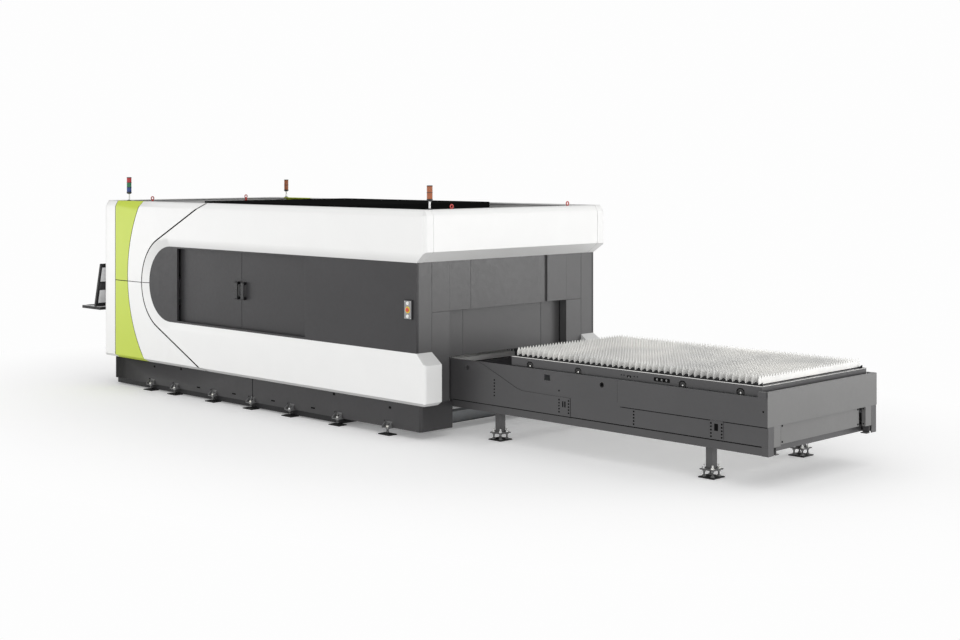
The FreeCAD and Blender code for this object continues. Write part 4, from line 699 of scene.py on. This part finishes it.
def build_lamp(name, x, y, foot, top, lenses):
    """Pole, cup, ribbed lenses and cap of one lamp."""
    radius = LAMP_RADIUS
    pole_height = TALL_POLE if len(lenses) == 3 else SHORT_POLE
    cup_z = foot + pole_height
    pole = bmesh.new()
    bar = ((0.0110, 0), (0.0110, pole_height - 0.019), (0.018, pole_height - 0.013))
    add_turned(pole, (x, y, foot + 0.013), UP, bar, 28)
    piece(name + "_pole", pole, "black_plastic", LAMP_POLE, smooth=32)

    start = cup_z + CUP_HEIGHT
    height = (top - CAP_HEIGHT - start) / len(lenses)
    cup = ((0.022, 0), (radius, 0.008), (radius, 0.022), (radius * 0.93, CUP_HEIGHT))
    cap = ((radius, 0), (radius, 0.006), (radius * 0.8, 0.0095), (0.0, 0.0098))
    joint = ((radius * 0.99, 0), (radius, 0.001), (radius, 0.005), (radius * 0.99, 0.006))
    dark = bmesh.new()
    add_turned(dark, (x, y, foot), UP, LAMP_BASE, 28)
    add_turned(dark, (x, y, cup_z), UP, cup, 32)
    add_turned(dark, (x, y, top - CAP_HEIGHT), UP, cap, 32)
    for index in range(1, len(lenses)):
        add_turned(dark, (x, y, start + index * height - 0.003), UP, joint, 32)
    piece(name + "_body", dark, "black_plastic", smooth=32)

    pitch = height / LAMP_RIBS
    ribbed = [(radius * 0.90, 0.0)]
    for rib in range(LAMP_RIBS):
        for share, part in ((0.93, 0.15), (0.97, 0.50), (0.93, 0.85)):
            ribbed.append((radius * share, pitch * (rib + part)))
    ribbed.append((radius * 0.90, height))
    for index, coat in enumerate(lenses):
        glass = bmesh.new()
        add_turned(glass, (x, y, start + index * height), UP, ribbed, 36)
        piece("%s_lens_%d" % (name, index + 1), glass, "lamp_plastic", coat, smooth=50)


def build_lamps():
    """The tall lamp has three lenses, the others two amber ones."""
    amber = MATS["lamp_plastic"]
    for number, (x, y, foot, top) in enumerate(sorted(clumps("signal_lamps", 0.12)), 1):
        tall = top > hi("signal_lamps").z - 0.01
        lenses = (BLUE_LENS, GREEN_LENS, RED_LENS) if tall else (amber, amber)
        build_lamp("signal_lamp_%d" % number, x, y, foot, top, lenses)
    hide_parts("signal_lamps")


def build_eyes():
    """Forged ring eyes with collar and shank."""
    eyes = bmesh.new()
    for x, y, foot, top in clumps("lifting_eyes", 0.05):
        rise = top - foot
        shank = ((0.0155, 0), (0.0155, max(0.002, rise - 0.066)), (0.0155, rise - 0.060),
                 (0.0135, rise - 0.056), (0.0105, rise - 0.047))
        add_torus(eyes, (x, y, top - 0.0275), ALONG, EYE_RADIUS, EYE_GAUGE)
        add_turned(eyes, (x, y, foot), UP, shank)
    piece("forged_lifting_eyes", eyes, "eye_red", smooth=40, replaces="lifting_eyes")


build_lamps()
build_eyes()


# ---- push buttons
BUTTON_BOX = "push_button_box"
TO_OPERATOR = (0, -1, 0)
PLATE_INSET = 0.009
SCREW_INSET = 0.016
PLATE_SCREW = ((0.0042, 0), (0.0042, 0.0008), (0.003, 0.0018), (0.0, 0.002))
CAP_ROOT = 0.006
STEM = ((0.0078, 0), (0.0078, 0.0102))
# A button's ring on the plate, its cap's skirt and crown, and their sides.  The cap starts CAP_ROOT
# inside the box, and how far the button stands out is added to the heights of its crown.
PUSH_FORM = (
    ((0.0205, 0), (0.0205, 0.0022), (0.0180, 0.0032), (0.0090, 0.0032), (0.0090, 0)),
    ((0.0162, 0.0106), (0.0168, 0.0118)),
    ((0.0168, 0.0045), (0.0150, 0.0058), (0.0, 0.006)), 36)
STOP_FORM = (
    ((0.036, 0.0002), (0.036, 0.0016), (0.034, 0.0022), (0.012, 0.0022), (0.012, 0.0002)), (),
    ((0.0185, 0.0005), (0.0218, 0.0025), (0.0215, 0.0042), (0.0165, 0.0056), (0.0, 0.006)), 40)


def add_button(rings, node, cap_name, body, slot, form):
    """Ring of a button in a mesh of rings, and its cap up to the node's own front."""
    ring, skirt, crown, sides = form
    x, z = centre_of(BUTTON_BOX)[0], centre_of(node)[2]
    face = lo(BUTTON_BOX).y
    stand = face - lo(node).y
    add_turned(rings, (x, face - 0.0010, z), TO_OPERATOR, ring, sides)
    cap = bmesh.new()
    profile = (*STEM, *skirt, *((radius, stand + height) for radius, height in crown))
    add_turned(cap, (x, face + CAP_ROOT, z), TO_OPERATOR, profile, sides)
    piece(cap_name, cap, slot, body=body, smooth=50, replaces=node)


def build_buttons():
    """Box with its front plate and screws, rings and caps of the buttons."""
    low, high = lo(BUTTON_BOX), hi(BUTTON_BOX)
    face = low.y
    shell, plate, screws, bezels, stop_ring = new_meshes(5)
    add_box(shell, (low.x + 0.0005, face, low.z + 0.0005), (high.x - 0.0005, high.y, high.z - 0.0005))
    add_box(plate, (low.x + PLATE_INSET, face - 0.0012, low.z + PLATE_INSET),
            (high.x - PLATE_INSET, face + 0.001, high.z - PLATE_INSET))
    for x in (low.x + SCREW_INSET, high.x - SCREW_INSET):
        for z in (low.z + SCREW_INSET, high.z - SCREW_INSET):
            add_turned(screws, (x, face - 0.0010, z), TO_OPERATOR, PLATE_SCREW, 16)
    piece("button_box_shell", shell, "black_plastic", edge=0.006, segments=3, replaces=BUTTON_BOX)
    piece("button_box_plate", plate, "black_plastic", PANEL_GREY, edge=0.0008)
    piece("button_box_screws", screws, "zinc_steel", smooth=40)
    for side in ("lower", "upper"):
        node = side + "_push_button"
        add_button(bezels, node, node + "_cap", side + "_button", "white_plastic", PUSH_FORM)
    node = "emergency_button"
    add_button(stop_ring, node, "emergency_mushroom", "stop_button", "red_plastic", STOP_FORM)
    piece("button_bezels", bezels, "black_plastic", MATS["zinc_steel"], smooth=40)
    piece("emergency_ring", stop_ring, "black_plastic", YELLOW_PLASTIC, smooth=40)


build_buttons()


# ---- door pulls
# Corners at each end of a pull: depth behind its front, distance from the end.
PULL_FRONT = ((0.010, 0.0), (0.0, 0.012))
PULL_BACK = ((0.020, 0.034), (0.014, 0.044))
PULL_FOOT = 0.030


def build_pull(node, body):
    """Flat pull with rounded feet."""
    low, high = lo(node), hi(node)
    bottom = [(low.y + out, low.z + inset) for out, inset in PULL_FRONT]
    top = [(low.y + out, high.z - inset) for out, inset in PULL_FRONT[::-1]]
    inner_top = [(low.y + out, high.z - inset) for out, inset in PULL_BACK]
    inner_bottom = [(low.y + out, low.z + inset) for out, inset in PULL_BACK[::-1]]
    outline = [(high.y, low.z), *bottom, *top, (high.y, high.z), (high.y, high.z - PULL_FOOT),
               *inner_top, *inner_bottom, (high.y, low.z + PULL_FOOT)]
    bar = bmesh.new()
    add_outline(bar, [(low.x, y, z) for y, z in outline], (high.x - low.x, 0, 0))
    piece(node + "_bar", bar, "black_metal", PULL_BLACK, body, edge=0.003, segments=3, replaces=node)


build_pull("left_door_pull", "left_leaf")
build_pull("right_door_pull", "right_leaf")


# ---- operator console
SCREEN_THICK = 0.045
KEY_SIZE = 0.022
KEY_MARGIN = 0.035
KEY_COLUMNS = 7
BOARD_ROWS, BOARD_COLUMNS = 4, 11
BOARD_KEY = (0.019, 0.0215)
BOARD_PITCH = (0.024, 0.0265)


def build_screen():
    """Leaning housing of the screen with its back panels of painted light and a band of painted shade
    between them, glass and keys.
    """
    low, high = lo("console_screen"), hi("console_screen")
    width = high.y - low.y
    lean = high.x - low.x - SCREEN_THICK
    length = math.hypot(lean, high.z - low.z)
    slope = Vector((lean, 0, high.z - low.z)).normalized()
    out = Vector((-slope.z, 0, slope.x))
    back = SCREEN_THICK * slope.z

    def add_slab(bm, up, across, inward):
        """Slab in the screen's plane, from its spans up the slope, across and inward."""
        points = []
        for i, j in ((0, 0), (0, 1), (1, 1), (1, 0)):
            points.append(Vector(low) + slope * up[i] + Vector(ACROSS) * across[j] - out * inward[0])
        add_outline(bm, points, out * (inward[0] - inward[1]))

    shell = bmesh.new()
    points = [(low.x, low.y, low.z), (low.x + lean, low.y, high.z), (high.x, low.y, high.z),
              (high.x - lean, low.y, low.z)]
    add_outline(shell, points, (0, width, 0))
    piece("console_housing", shell, "black_metal", body="console", edge=0.006, segments=3,
          replaces="console_screen")
    panels, shade_band, glass, keys = new_meshes(4)
    # Back panels painted light, with a band of painted shade across the middle.
    for low_share, high_share, inset in ((0.60, 0.93, 0.020), (0.10, 0.40, 0.030)):
        add_slab(panels, (length * low_share, length * high_share), (inset, width - inset),
                 (back - 0.002, back + 0.0012))
    add_slab(shade_band, (length * 0.42, length * 0.58), (0.012, width - 0.012), (back - 0.002, back + 0.0008))
    add_slab(glass, (0.125, length - 0.030), (0.022, width - 0.022), (-0.0008, 0.004))
    key_pitch = (width - 2 * KEY_MARGIN - KEY_SIZE) / (KEY_COLUMNS - 1)
    for column in range(KEY_COLUMNS):
        start = KEY_MARGIN + column * key_pitch
        add_slab(keys, (0.050, 0.050 + KEY_SIZE), (start, start + KEY_SIZE), (-0.0015, 0.002))
    piece("console_back_painted_light", panels, "black_metal", CONSOLE_PAINTED_LIGHT, "console", edge=0.0006)
    piece("console_back_painted_shade", shade_band, "black_metal", MATS["dark_wall"], "console", edge=0.0006)
    piece("console_glass", glass, "screen_glass", body="console", edge=0.001)
    piece("console_keys", keys, "black_plastic", PANEL_GREY, "console", edge=0.002)


def build_keyboard():
    """Keys on the console's tray."""
    start_x = lo("console_tray").x + 0.030
    start_y = lo("console_screen").y + KEY_MARGIN
    top = hi("console_tray").z
    board = bmesh.new()
    for row in range(BOARD_ROWS):
        for column in range(BOARD_COLUMNS):
            x = start_x + row * BOARD_PITCH[0]
            y = start_y + column * BOARD_PITCH[1]
            add_box(board, (x, y, top - 0.001), (x + BOARD_KEY[0], y + BOARD_KEY[1], top + 0.004))
    piece("console_keyboard", board, "black_plastic", body="console", edge=0.0025)


build_screen()
build_keyboard()


# ---- drive of the pallets
SHAFT_RADIUS, SHAFT_TIP = 0.0148, 0.0135
SHAFT_CHAMFER = 0.0015
SPROCKET_TEETH = 16
SPROCKET_INSET = 0.060
SPROCKET_WIDTH = 0.008
HUB_RADIUS, HUB_LENGTH = 0.024, 0.016
# One tooth: part of its pitch, share of the outer radius.
TOOTH_FORM = ((0.0, 0.82), (0.3, 0.80), (0.55, 0.99), (0.75, 0.99))
MOTOR_RADIUS = 0.054
MOTOR_LENGTH = 0.240
MOTOR_Y, MOTOR_Z = 0.12, 0.428
MOTOR_FINS = 9
FIN_START, FIN_PITCH = 0.056, 0.018


def build_shaft():
    """Shaft with keyed hubs and toothed sprockets."""
    low, high = lo("drive_shaft"), hi("drive_shaft")
    x, _, z = centre_of("drive_shaft")
    outer = (high.z - low.z) / 2
    length = high.y - low.y
    shaft = bmesh.new()
    profile = ((SHAFT_TIP, 0), (SHAFT_RADIUS, SHAFT_CHAMFER), (SHAFT_RADIUS, length - SHAFT_CHAMFER),
               (SHAFT_TIP, length))
    add_turned(shaft, (x, low.y, z), ACROSS, profile, 32)
    for y in (low.y + SPROCKET_INSET, high.y - SPROCKET_INSET - HUB_LENGTH):
        face = y + (HUB_LENGTH - SPROCKET_WIDTH) / 2
        points = []
        for index in range(SPROCKET_TEETH):
            for part, share in TOOTH_FORM:
                angle = math.tau * (index + part) / SPROCKET_TEETH
                radius = outer * share
                points.append((x + math.cos(angle) * radius, face, z + math.sin(angle) * radius))
        add_outline(shaft, points, (0, SPROCKET_WIDTH, 0))
        add_turned(shaft, (x, y, z), ACROSS, ((HUB_RADIUS, 0), (HUB_RADIUS, HUB_LENGTH)), 28)
    piece("sprocket_shaft", shaft, "bare_steel", CHAIN_STEEL, "chain_shaft", smooth=30,
          replaces="drive_shaft")


def build_motor():
    """Finned barrel of the gear motor."""
    rim, root = MOTOR_RADIUS * 0.97, MOTOR_RADIUS * 0.86
    cover = MOTOR_RADIUS * 0.98
    profile = [(MOTOR_RADIUS * 0.80, 0), (rim, 0.010), (rim, 0.048), (root, 0.050)]
    for index in range(MOTOR_FINS):
        start = FIN_START + index * FIN_PITCH
        profile += [(root, start), (MOTOR_RADIUS, start + 0.001), (MOTOR_RADIUS, start + 0.009),
                    (root, start + 0.010)]
    profile += [(root, MOTOR_LENGTH - 0.012), (cover, MOTOR_LENGTH - 0.010), (cover, MOTOR_LENGTH)]
    barrel = bmesh.new()
    add_turned(barrel, (lo("drive_gear_motor").x, MOTOR_Y, MOTOR_Z), ALONG, profile, 36)
    piece("gear_motor_fins", barrel, "cast_aluminium", smooth=30)


build_shaft()
build_motor()


# ---- cutting head
HEAD_AXIS = 0.050
# Radius and height over the nozzle's tip: nozzle, two rings, then the body with its joints.
HEAD_PROFILE = (
    (0.0045, 0), (0.0055, 0.004), (0.0125, 0.016), (0.0145, 0.020), (0.0145, 0.030), (0.0205, 0.042),
    (0.0215, 0.060), (0.0262, 0.062), (0.0262, 0.078), (0.0225, 0.080), (0.0225, 0.100), (0.0262, 0.102),
    (0.0262, 0.118), (0.0300, 0.121), (0.0440, 0.132), (0.0448, 0.140), (0.0448, 0.200), (0.0425, 0.202),
    (0.0425, 0.210), (0.0448, 0.212), (0.0448, 0.330), (0.0425, 0.332), (0.0425, 0.340), (0.0448, 0.342),
    (0.0448, 0.412), (0.0400, 0.4195))


def build_head():
    """Turned cutting head with its rings and nozzle, and the saddle that holds it."""
    low = lo("cutting_head")
    x, y, z = low.x + HEAD_AXIS, centre_of("cutting_head")[1], low.z
    head = bmesh.new()
    add_turned(head, (x, y, z), UP, HEAD_PROFILE, 40)
    piece("cutting_head_body", head, "black_metal", body="head", smooth=30, replaces="cutting_head")
    saddle = bmesh.new()
    add_box(saddle, (low.x + 0.0002, y - 0.044, z + 0.121), (x, y + 0.044, z + 0.299))
    for rise in (0.15, 0.27):
        for side in SIDES:
            add_bolt(saddle, (x - 0.012, y + side * 0.036, z + rise), (0, side, 0), 0.006, 0.005)
    piece("cutting_head_saddle", saddle, "cast_aluminium", body="head", edge=0.003)


build_head()


# ---- small fittings of the table and the cabin
MARK_DEPTH = 0.0008
HOLE_ROW = (2.312, 2.346, 2.470, 2.508)
HAND_SLOT_BOLTS = (2.745, 2.800, 2.855)
COVER_THICK = 0.005
# Rows of screws: x from the end wall, node they sit on, height over it, first z, pitch, count.
SCREW_ROWS = (
    (0.649, "swept_side_plates", 0.0, 0.490, 0.032, 6),
    (1.545, "swept_side_plates", 0.0, 0.425, 0.030, 5),
    (1.670, "swept_side_plates", 0.0, 0.425, 0.030, 5),
    (3.388, "table_sides", COVER_THICK, 0.415, 0.030, 5),
    (3.507, "table_sides", COVER_THICK, 0.415, 0.030, 5),
    (2.488, "table_sides", 0.0, 0.415, 0.030, 5),
    (1.540, "table_sides", 0.0, 0.633, 0.030, 1),
    (3.955, "table_guards", 0.0, 0.700, 0.030, 1),
)
END_SKIN = 0.010
END_FOOT = 0.378
POST_INNER, POST_OUTER = 0.716, 0.822
LIP_HEIGHT = 0.006
END_SCREWS_Z = (0.402, 0.545)
STRIP_THICK = 0.003
# The painted shade line on the joint across the round window's bevel: x and distance out at its two ends,
# and its z.
BEVEL_ENDS = ((-3.827, 1.4398), (-3.7145, 1.4103))
BEVEL_Z = (1.367, 1.375)
END_SLOTS = 6
HEXAGON = ((-0.022, 0), (-0.014, 0.013), (0.014, 0.013), (0.022, 0), (0.014, -0.013), (-0.014, -0.013))
HEX_HOLES = ((-4.962, 0.304), (-4.370, 0.328), (-1.397, 0.334), (-0.468, 0.290))
LONG_HOLES = (-3.993, -3.260, -2.500, -1.766)
PLINTH_JOINT_X = -2.893


def add_plate(bm, side, x, z, face, thick, corner):
    """Plate with rounded corners on a long side, from spans counted from the end wall and up."""
    points = []
    corners = ((x[1] - corner, z[0] + corner, -90), (x[1] - corner, z[1] - corner, 0),
               (x[0] + corner, z[1] - corner, 90), (x[0] + corner, z[0] + corner, 180))
    for centre_x, centre_z, start in corners:
        for step in range(5):
            angle = math.radians(start + 22.5 * step)
            points.append((WALL_X + centre_x + corner * math.cos(angle), side * face,
                           centre_z + corner * math.sin(angle)))
    add_outline(bm, points, (0, side * thick, 0))


def build_pallet_marks():
    """Hand slot with its three bolts and the row of holes in the pallet's sides, the slot and holes drawn
    as thin black plates of painted shade.
    """
    face = hi("upper_pallet_frame").y
    floor = face - MARK_DEPTH
    holes, bolts = new_meshes(2)
    for side in SIDES:
        out = (0, side, 0)
        add_plate(holes, side, (2.705, 2.895), (0.842, 0.880), floor, 0.0010, 0.010)
        add_plate(holes, side, (2.382, 2.432), (0.846, 0.866), floor, 0.0010, 0.006)
        for x in HOLE_ROW:
            add_turned(holes, (WALL_X + x, side * floor, 0.862), out, ((0.0070, 0), (0.0070, 0.0010)), 20)
        for x in HAND_SLOT_BOLTS:
            add_bolt(bolts, (WALL_X + x, side * face, 0.861), out, 0.0080, 0.006)
        add_bolt(bolts, (WALL_X + 2.407, side * face, 0.850), out, 0.0060, 0.005)
    piece("pallet_side_slots", holes, "black_metal", SHADE_AND_SCREW_BLACK, "upper_pallet")
    piece("pallet_side_bolts", bolts, "zinc_steel", THREAD_STEEL, "upper_pallet", smooth=30)


def build_table_fittings():
    """Screws, cover plates and slots on the table's side plates, the slots drawn as thin black plates of
    painted shade.
    """
    skin, wall = half_width("swept_side_plates"), half_width("table_sides")
    screws, plates, holes = new_meshes(3)
    for side in SIDES:
        for x, node, over, first_z, pitch, count in SCREW_ROWS:
            y = side * (half_width(node) + over)
            for index in range(count):
                add_screw(screws, (WALL_X + x, y, first_z + index * pitch), (0, side, 0))
        for x in (1.594, 1.622):
            add_plate(holes, side, (x - 0.008, x + 0.008), (0.475, 0.535), skin - 0.001, 0.0015, 0.006)
        add_plate(plates, side, (3.372, 3.522), (0.394, 0.563), wall, COVER_THICK, 0.012)
        add_plate(holes, side, (3.424, 3.466), (0.470, 0.535), wall + 0.0045, 0.001, 0.006)
    piece("side_plate_screws", screws, "black_metal", SHADE_AND_SCREW_BLACK, smooth=40)
    piece("side_slot_plates", plates, "table_grey", edge=0.001)
    piece("side_slots", holes, "black_metal", SHADE_AND_SCREW_BLACK)


def build_table_end():
    """Corner returns, posts and the end plate set back between them, the posts and plate in a lighter grey
    of painted light, and the guard's upper lip with a painted highlight.
    """
    low, high = lo("table_end_plates"), hi("table_end_plates")
    end, out, top = high.x, high.y, hi("table_guards").z
    back, near = end - END_SKIN, end - 0.0002
    corner_spans = (
        ((back, near), (POST_OUTER + 0.002, out), (low.z, high.z)),
        ((low.x, back), (out - END_SKIN, out), (low.z, END_FOOT + 0.012)),
        ((low.x, end - 0.001), (POST_OUTER - 0.040, POST_OUTER - 0.032), (low.z, END_FOOT - 0.006)),
        ((low.x, end - 0.001), (POST_OUTER - 0.082, POST_OUTER - 0.040), (low.z, low.z + 0.008)),
        ((end - 0.105, near), (out, out + 0.010), (0.8202, top)),
    )
    corners, posts, plate, bolts, lips = new_meshes(5)
    plate_foot, lip_foot, lip_end = END_FOOT + 0.004, top - LIP_HEIGHT, end - 0.0102
    for side in SIDES:
        for x, y, z in corner_spans:
            add_block(corners, side, x, y, z)
        add_block(posts, side, (back, end), (POST_INNER, POST_OUTER), (END_FOOT, high.z))
        add_block(posts, side, (end - 0.042, back), (POST_INNER, POST_INNER + 0.008), (END_FOOT, high.z))
        add_block(plate, side, (end - 0.070, end - 0.047), (0.651, 0.659), (plate_foot, high.z))
        add_block(lips, side, (end - 0.105, lip_end), (out - 0.018, out), (lip_foot, top))
        for z in END_SCREWS_Z:
            add_screw(bolts, (end - 0.024, side * POST_INNER, z), (0, -side, 0), 0.007)
            add_screw(bolts, (end - 0.037, side * 0.638, z), ALONG, 0.010)
    add_box(plate, (end - 0.047, -0.659, plate_foot), (end - 0.037, 0.659, high.z))
    add_box(lips, (end - 0.034, -out, lip_foot), (lip_end, out, top))
    piece("table_corner_returns", corners, "table_grey", edge=0.001, replaces="table_end_plates")
    # Posts and end plate in the lighter grey of painted light.
    piece("table_corner_posts", posts, "table_grey", END_PAINTED_LIGHT, edge=0.0015)
    piece("table_end_plate", plate, "table_grey", END_PAINTED_LIGHT, edge=0.0015)
    piece("table_end_bolts", bolts, "black_metal", SHADE_AND_SCREW_BLACK, smooth=40)
    # Painted highlight: a light grey strip along the guard's top edges.
    piece("guard_lip_highlight_strip", lips, "table_grey", GUARD_LIP_HIGHLIGHT, edge=0.0015)


def build_shadow_strips():
    """Painted shadow lines under the guard and the side plates, and a painted shade line on the joint
    across the round window's bevel.
    """
    start, end = lo("table_guards").x, hi("table_guards").x - 0.012
    wall = half_width("table_sides") + 0.0012
    spans = (((start + 0.030, end), wall, (0.556, 0.5648)),
             ((start - 0.009, start - 0.0002), wall, (0.600, 0.812)),
             ((WALL_X + 0.02, end), 0.9012, (0.379, 0.3898)))
    strips = bmesh.new()
    for side in SIDES:
        for x, y, z in spans:
            add_block(strips, side, x, (y - STRIP_THICK, y), z)
        (left, left_y), (right, right_y) = BEVEL_ENDS
        low, high = BEVEL_Z
        points = [(left, side * left_y, low), (right, side * right_y, low),
                  (right, side * right_y, high), (left, side * left_y, high)]
        add_outline(strips, points, (0, -side * 0.004, 0))
    piece("painted_shadow_strips", strips, "black_metal", SHADE_AND_SCREW_BLACK)


def build_pallet_end():
    """Long slots of the pallet's end beam as black boxes of painted shade, and a painted highlight along
    its outer top edges.
    """
    low, high = lo("upper_pallet_frame"), hi("upper_pallet_frame")
    slots, edges = new_meshes(2)
    pitch = 2 * high.y / END_SLOTS
    for index in range(END_SLOTS):
        y = index * pitch - high.y
        add_box(slots, (high.x - 0.0195, y + 0.022, high.z - 0.001),
                (high.x - 0.0055, y + pitch - 0.022, high.z + 0.0006))
    # Painted highlight: light steel strips along the frame's top outer edges.
    for side in SIDES:
        add_block(edges, side, (low.x, high.x), (high.y - 0.007, high.y), (high.z - 0.002, high.z + 0.0025))
    add_box(edges, (high.x - 0.0040, -high.y, high.z - 0.002), (high.x, high.y, high.z + 0.0015))
    piece("pallet_end_slots", slots, "black_metal", SHADE_AND_SCREW_BLACK, "upper_pallet")
    piece("pallet_edge_painted_highlight", edges, "bare_steel", SLAT_STEEL, "upper_pallet")


def build_plinth_holes():
    """Hexagonal and long holes of the plinth, and its joint, drawn as thin black plates of painted shade.
    """
    face = hi("plinth_panels").y - 0.001
    holes = bmesh.new()
    for side in SIDES:
        for x, z in HEX_HOLES:
            points = [(WALL_X + x + dx, side * face, z + dz) for dx, dz in HEXAGON]
            add_outline(holes, points, (0, side * 0.0022, 0))
        spans = [(x, 0.035, (0.130, 0.146)) for x in LONG_HOLES]
        spans.append((PLINTH_JOINT_X, 0.005, (0.086, 0.416)))
        for x, half, z in spans:
            x += WALL_X
            add_block(holes, side, (x - half, x + half), (face, face + 0.0018), z)
    piece("plinth_hole_painted_shade", holes, "black_metal", SHADE_AND_SCREW_BLACK)


build_pallet_marks()
build_table_fittings()
build_table_end()
build_shadow_strips()
build_pallet_end()
build_plinth_holes()


# ---- stage: floor, background, lights, camera
WHITE = (1.0, 1.0, 1.0, 1.0)
BACKDROP_GLOW = 0.985
ROOM_LIGHT = 0.58
FLOOR_COLOR = (0.94, 0.94, 0.94, 1.0)
FLOOR_RADIUS = 60.0
FLOOR_SQUEEZE = (0.62, 1.0, 1.0)
FLOOR_FADE = (2.7, 5.4)
CAMERA_PLACE = (12.8646, -12.1055, 2.87)
CAMERA_TURN = math.radians(44.852)
CAMERA_LENS = 56.79
CAMERA_SHIFT = -0.1615
# Soft lights: name, place, target, width and height, power.
LIGHTS = (
    ("top_soft", (1.0, -1.0, 9.5), (0.0, 0.0, 0.5), (14.0, 9.0), 160),
    ("end_soft", (13.0, 9.5, 2.4), (3.0, 0.0, 0.9), (8.0, 4.4), 490),
    ("end_key", (15.5, -4.0, 4.0), (2.5, 0.0, 1.0), (6.0, 5.0), 225),
    ("corner_soft", (14.5, -13.5, 5.5), (1.0, 0.0, 1.0), (7.0, 4.0), 380),
    ("front_soft", (-4.5, -12.5, 3.0), (-3.0, 0.0, 1.2), (10.0, 3.6), 205),
    ("left_soft", (-13.5, -7.2, 1.5), (-4.0, -1.4, 1.3), (5.0, 1.8), 90),
)


def mix_shaders(tree, fac, first, second, out):
    """Two shaders mixed into an output's surface."""
    mix = add_node(tree, "MixShader")
    feed(mix, {0: fac, 1: first.outputs[0], 2: second.outputs[0]})
    feed(out, {"Surface": mix.outputs[0]})


def build_floor():
    """Pale floor that fades into the background far from the machine."""
    mat = bpy.data.materials.new("studio_floor")
    mat.use_nodes = True
    tree = mat.node_tree
    shader = tree.nodes["Principled BSDF"]
    feed(shader, {
        "Base Color": FLOOR_COLOR, "Emission Color": WHITE, "Emission Strength": 0.17,
        "Roughness": 0.75, "Specular IOR Level": 0.2,
    })
    glow = add_node(tree, "Emission", Color=WHITE, Strength=BACKDROP_GLOW)
    coords = add_node(tree, "TexCoord").outputs["Object"]
    length = add_node(tree, "VectorMath")
    length.operation = "LENGTH"
    feed(length, {0: add_node(tree, "Mapping", Vector=coords, Scale=FLOOR_SQUEEZE).outputs["Vector"]})
    far = remap(tree, length.outputs["Value"], FLOOR_FADE, 0.0, 1.0)
    far.node.interpolation_type = "SMOOTHSTEP"
    mix_shaders(tree, far, shader, glow, tree.nodes["Material Output"])
    bm = bmesh.new()
    add_turned(bm, (0, 0, -0.010), UP, ((FLOOR_RADIUS, 0), (FLOOR_RADIUS, 0.0099)), 96)
    link_mesh("studio_floor", bm, mat)


def build_world():
    """Pale background for the camera, softer light for the rest."""
    world = bpy.data.worlds.new("studio")
    bpy.context.scene.world = world
    world.use_nodes = True
    tree = world.node_tree
    tree.nodes.clear()
    seen = add_node(tree, "Background", Color=WHITE, Strength=BACKDROP_GLOW)
    light = add_node(tree, "Background", Color=WHITE, Strength=ROOM_LIGHT)
    by_camera = add_node(tree, "LightPath").outputs["Is Camera Ray"]
    mix_shaders(tree, by_camera, light, seen, add_node(tree, "OutputWorld"))


def add_light(name, place, target, size, power):
    """Rectangular soft light aimed at a target."""
    data = bpy.data.lights.new(name, "AREA")
    data.shape = "RECTANGLE"
    data.size, data.size_y = size
    data.energy = power
    obj = link_object(name, data)
    obj.location = place
    obj.rotation_mode = "QUATERNION"
    obj.rotation_quaternion = (Vector(target) - Vector(place)).to_track_quat("-Z", "Y")


def build_camera():
    """The photograph's camera."""
    data = bpy.data.cameras.new("photo_camera")
    data.sensor_width = 36.0
    data.lens = CAMERA_LENS
    data.shift_y = CAMERA_SHIFT
    data.clip_end = 200.0
    obj = link_object("photo_camera", data)
    obj.location = CAMERA_PLACE
    obj.rotation_euler = (math.radians(90), 0, CAMERA_TURN)
    bpy.context.scene.camera = obj


build_floor()
build_world()
for light_values in LIGHTS:
    add_light(*light_values)
build_camera()
for node_name in sorted(NODES):
    refine(node_name)
bpy.context.scene.view_settings.view_transform = "Standard"
bpy.context.view_layer.update()
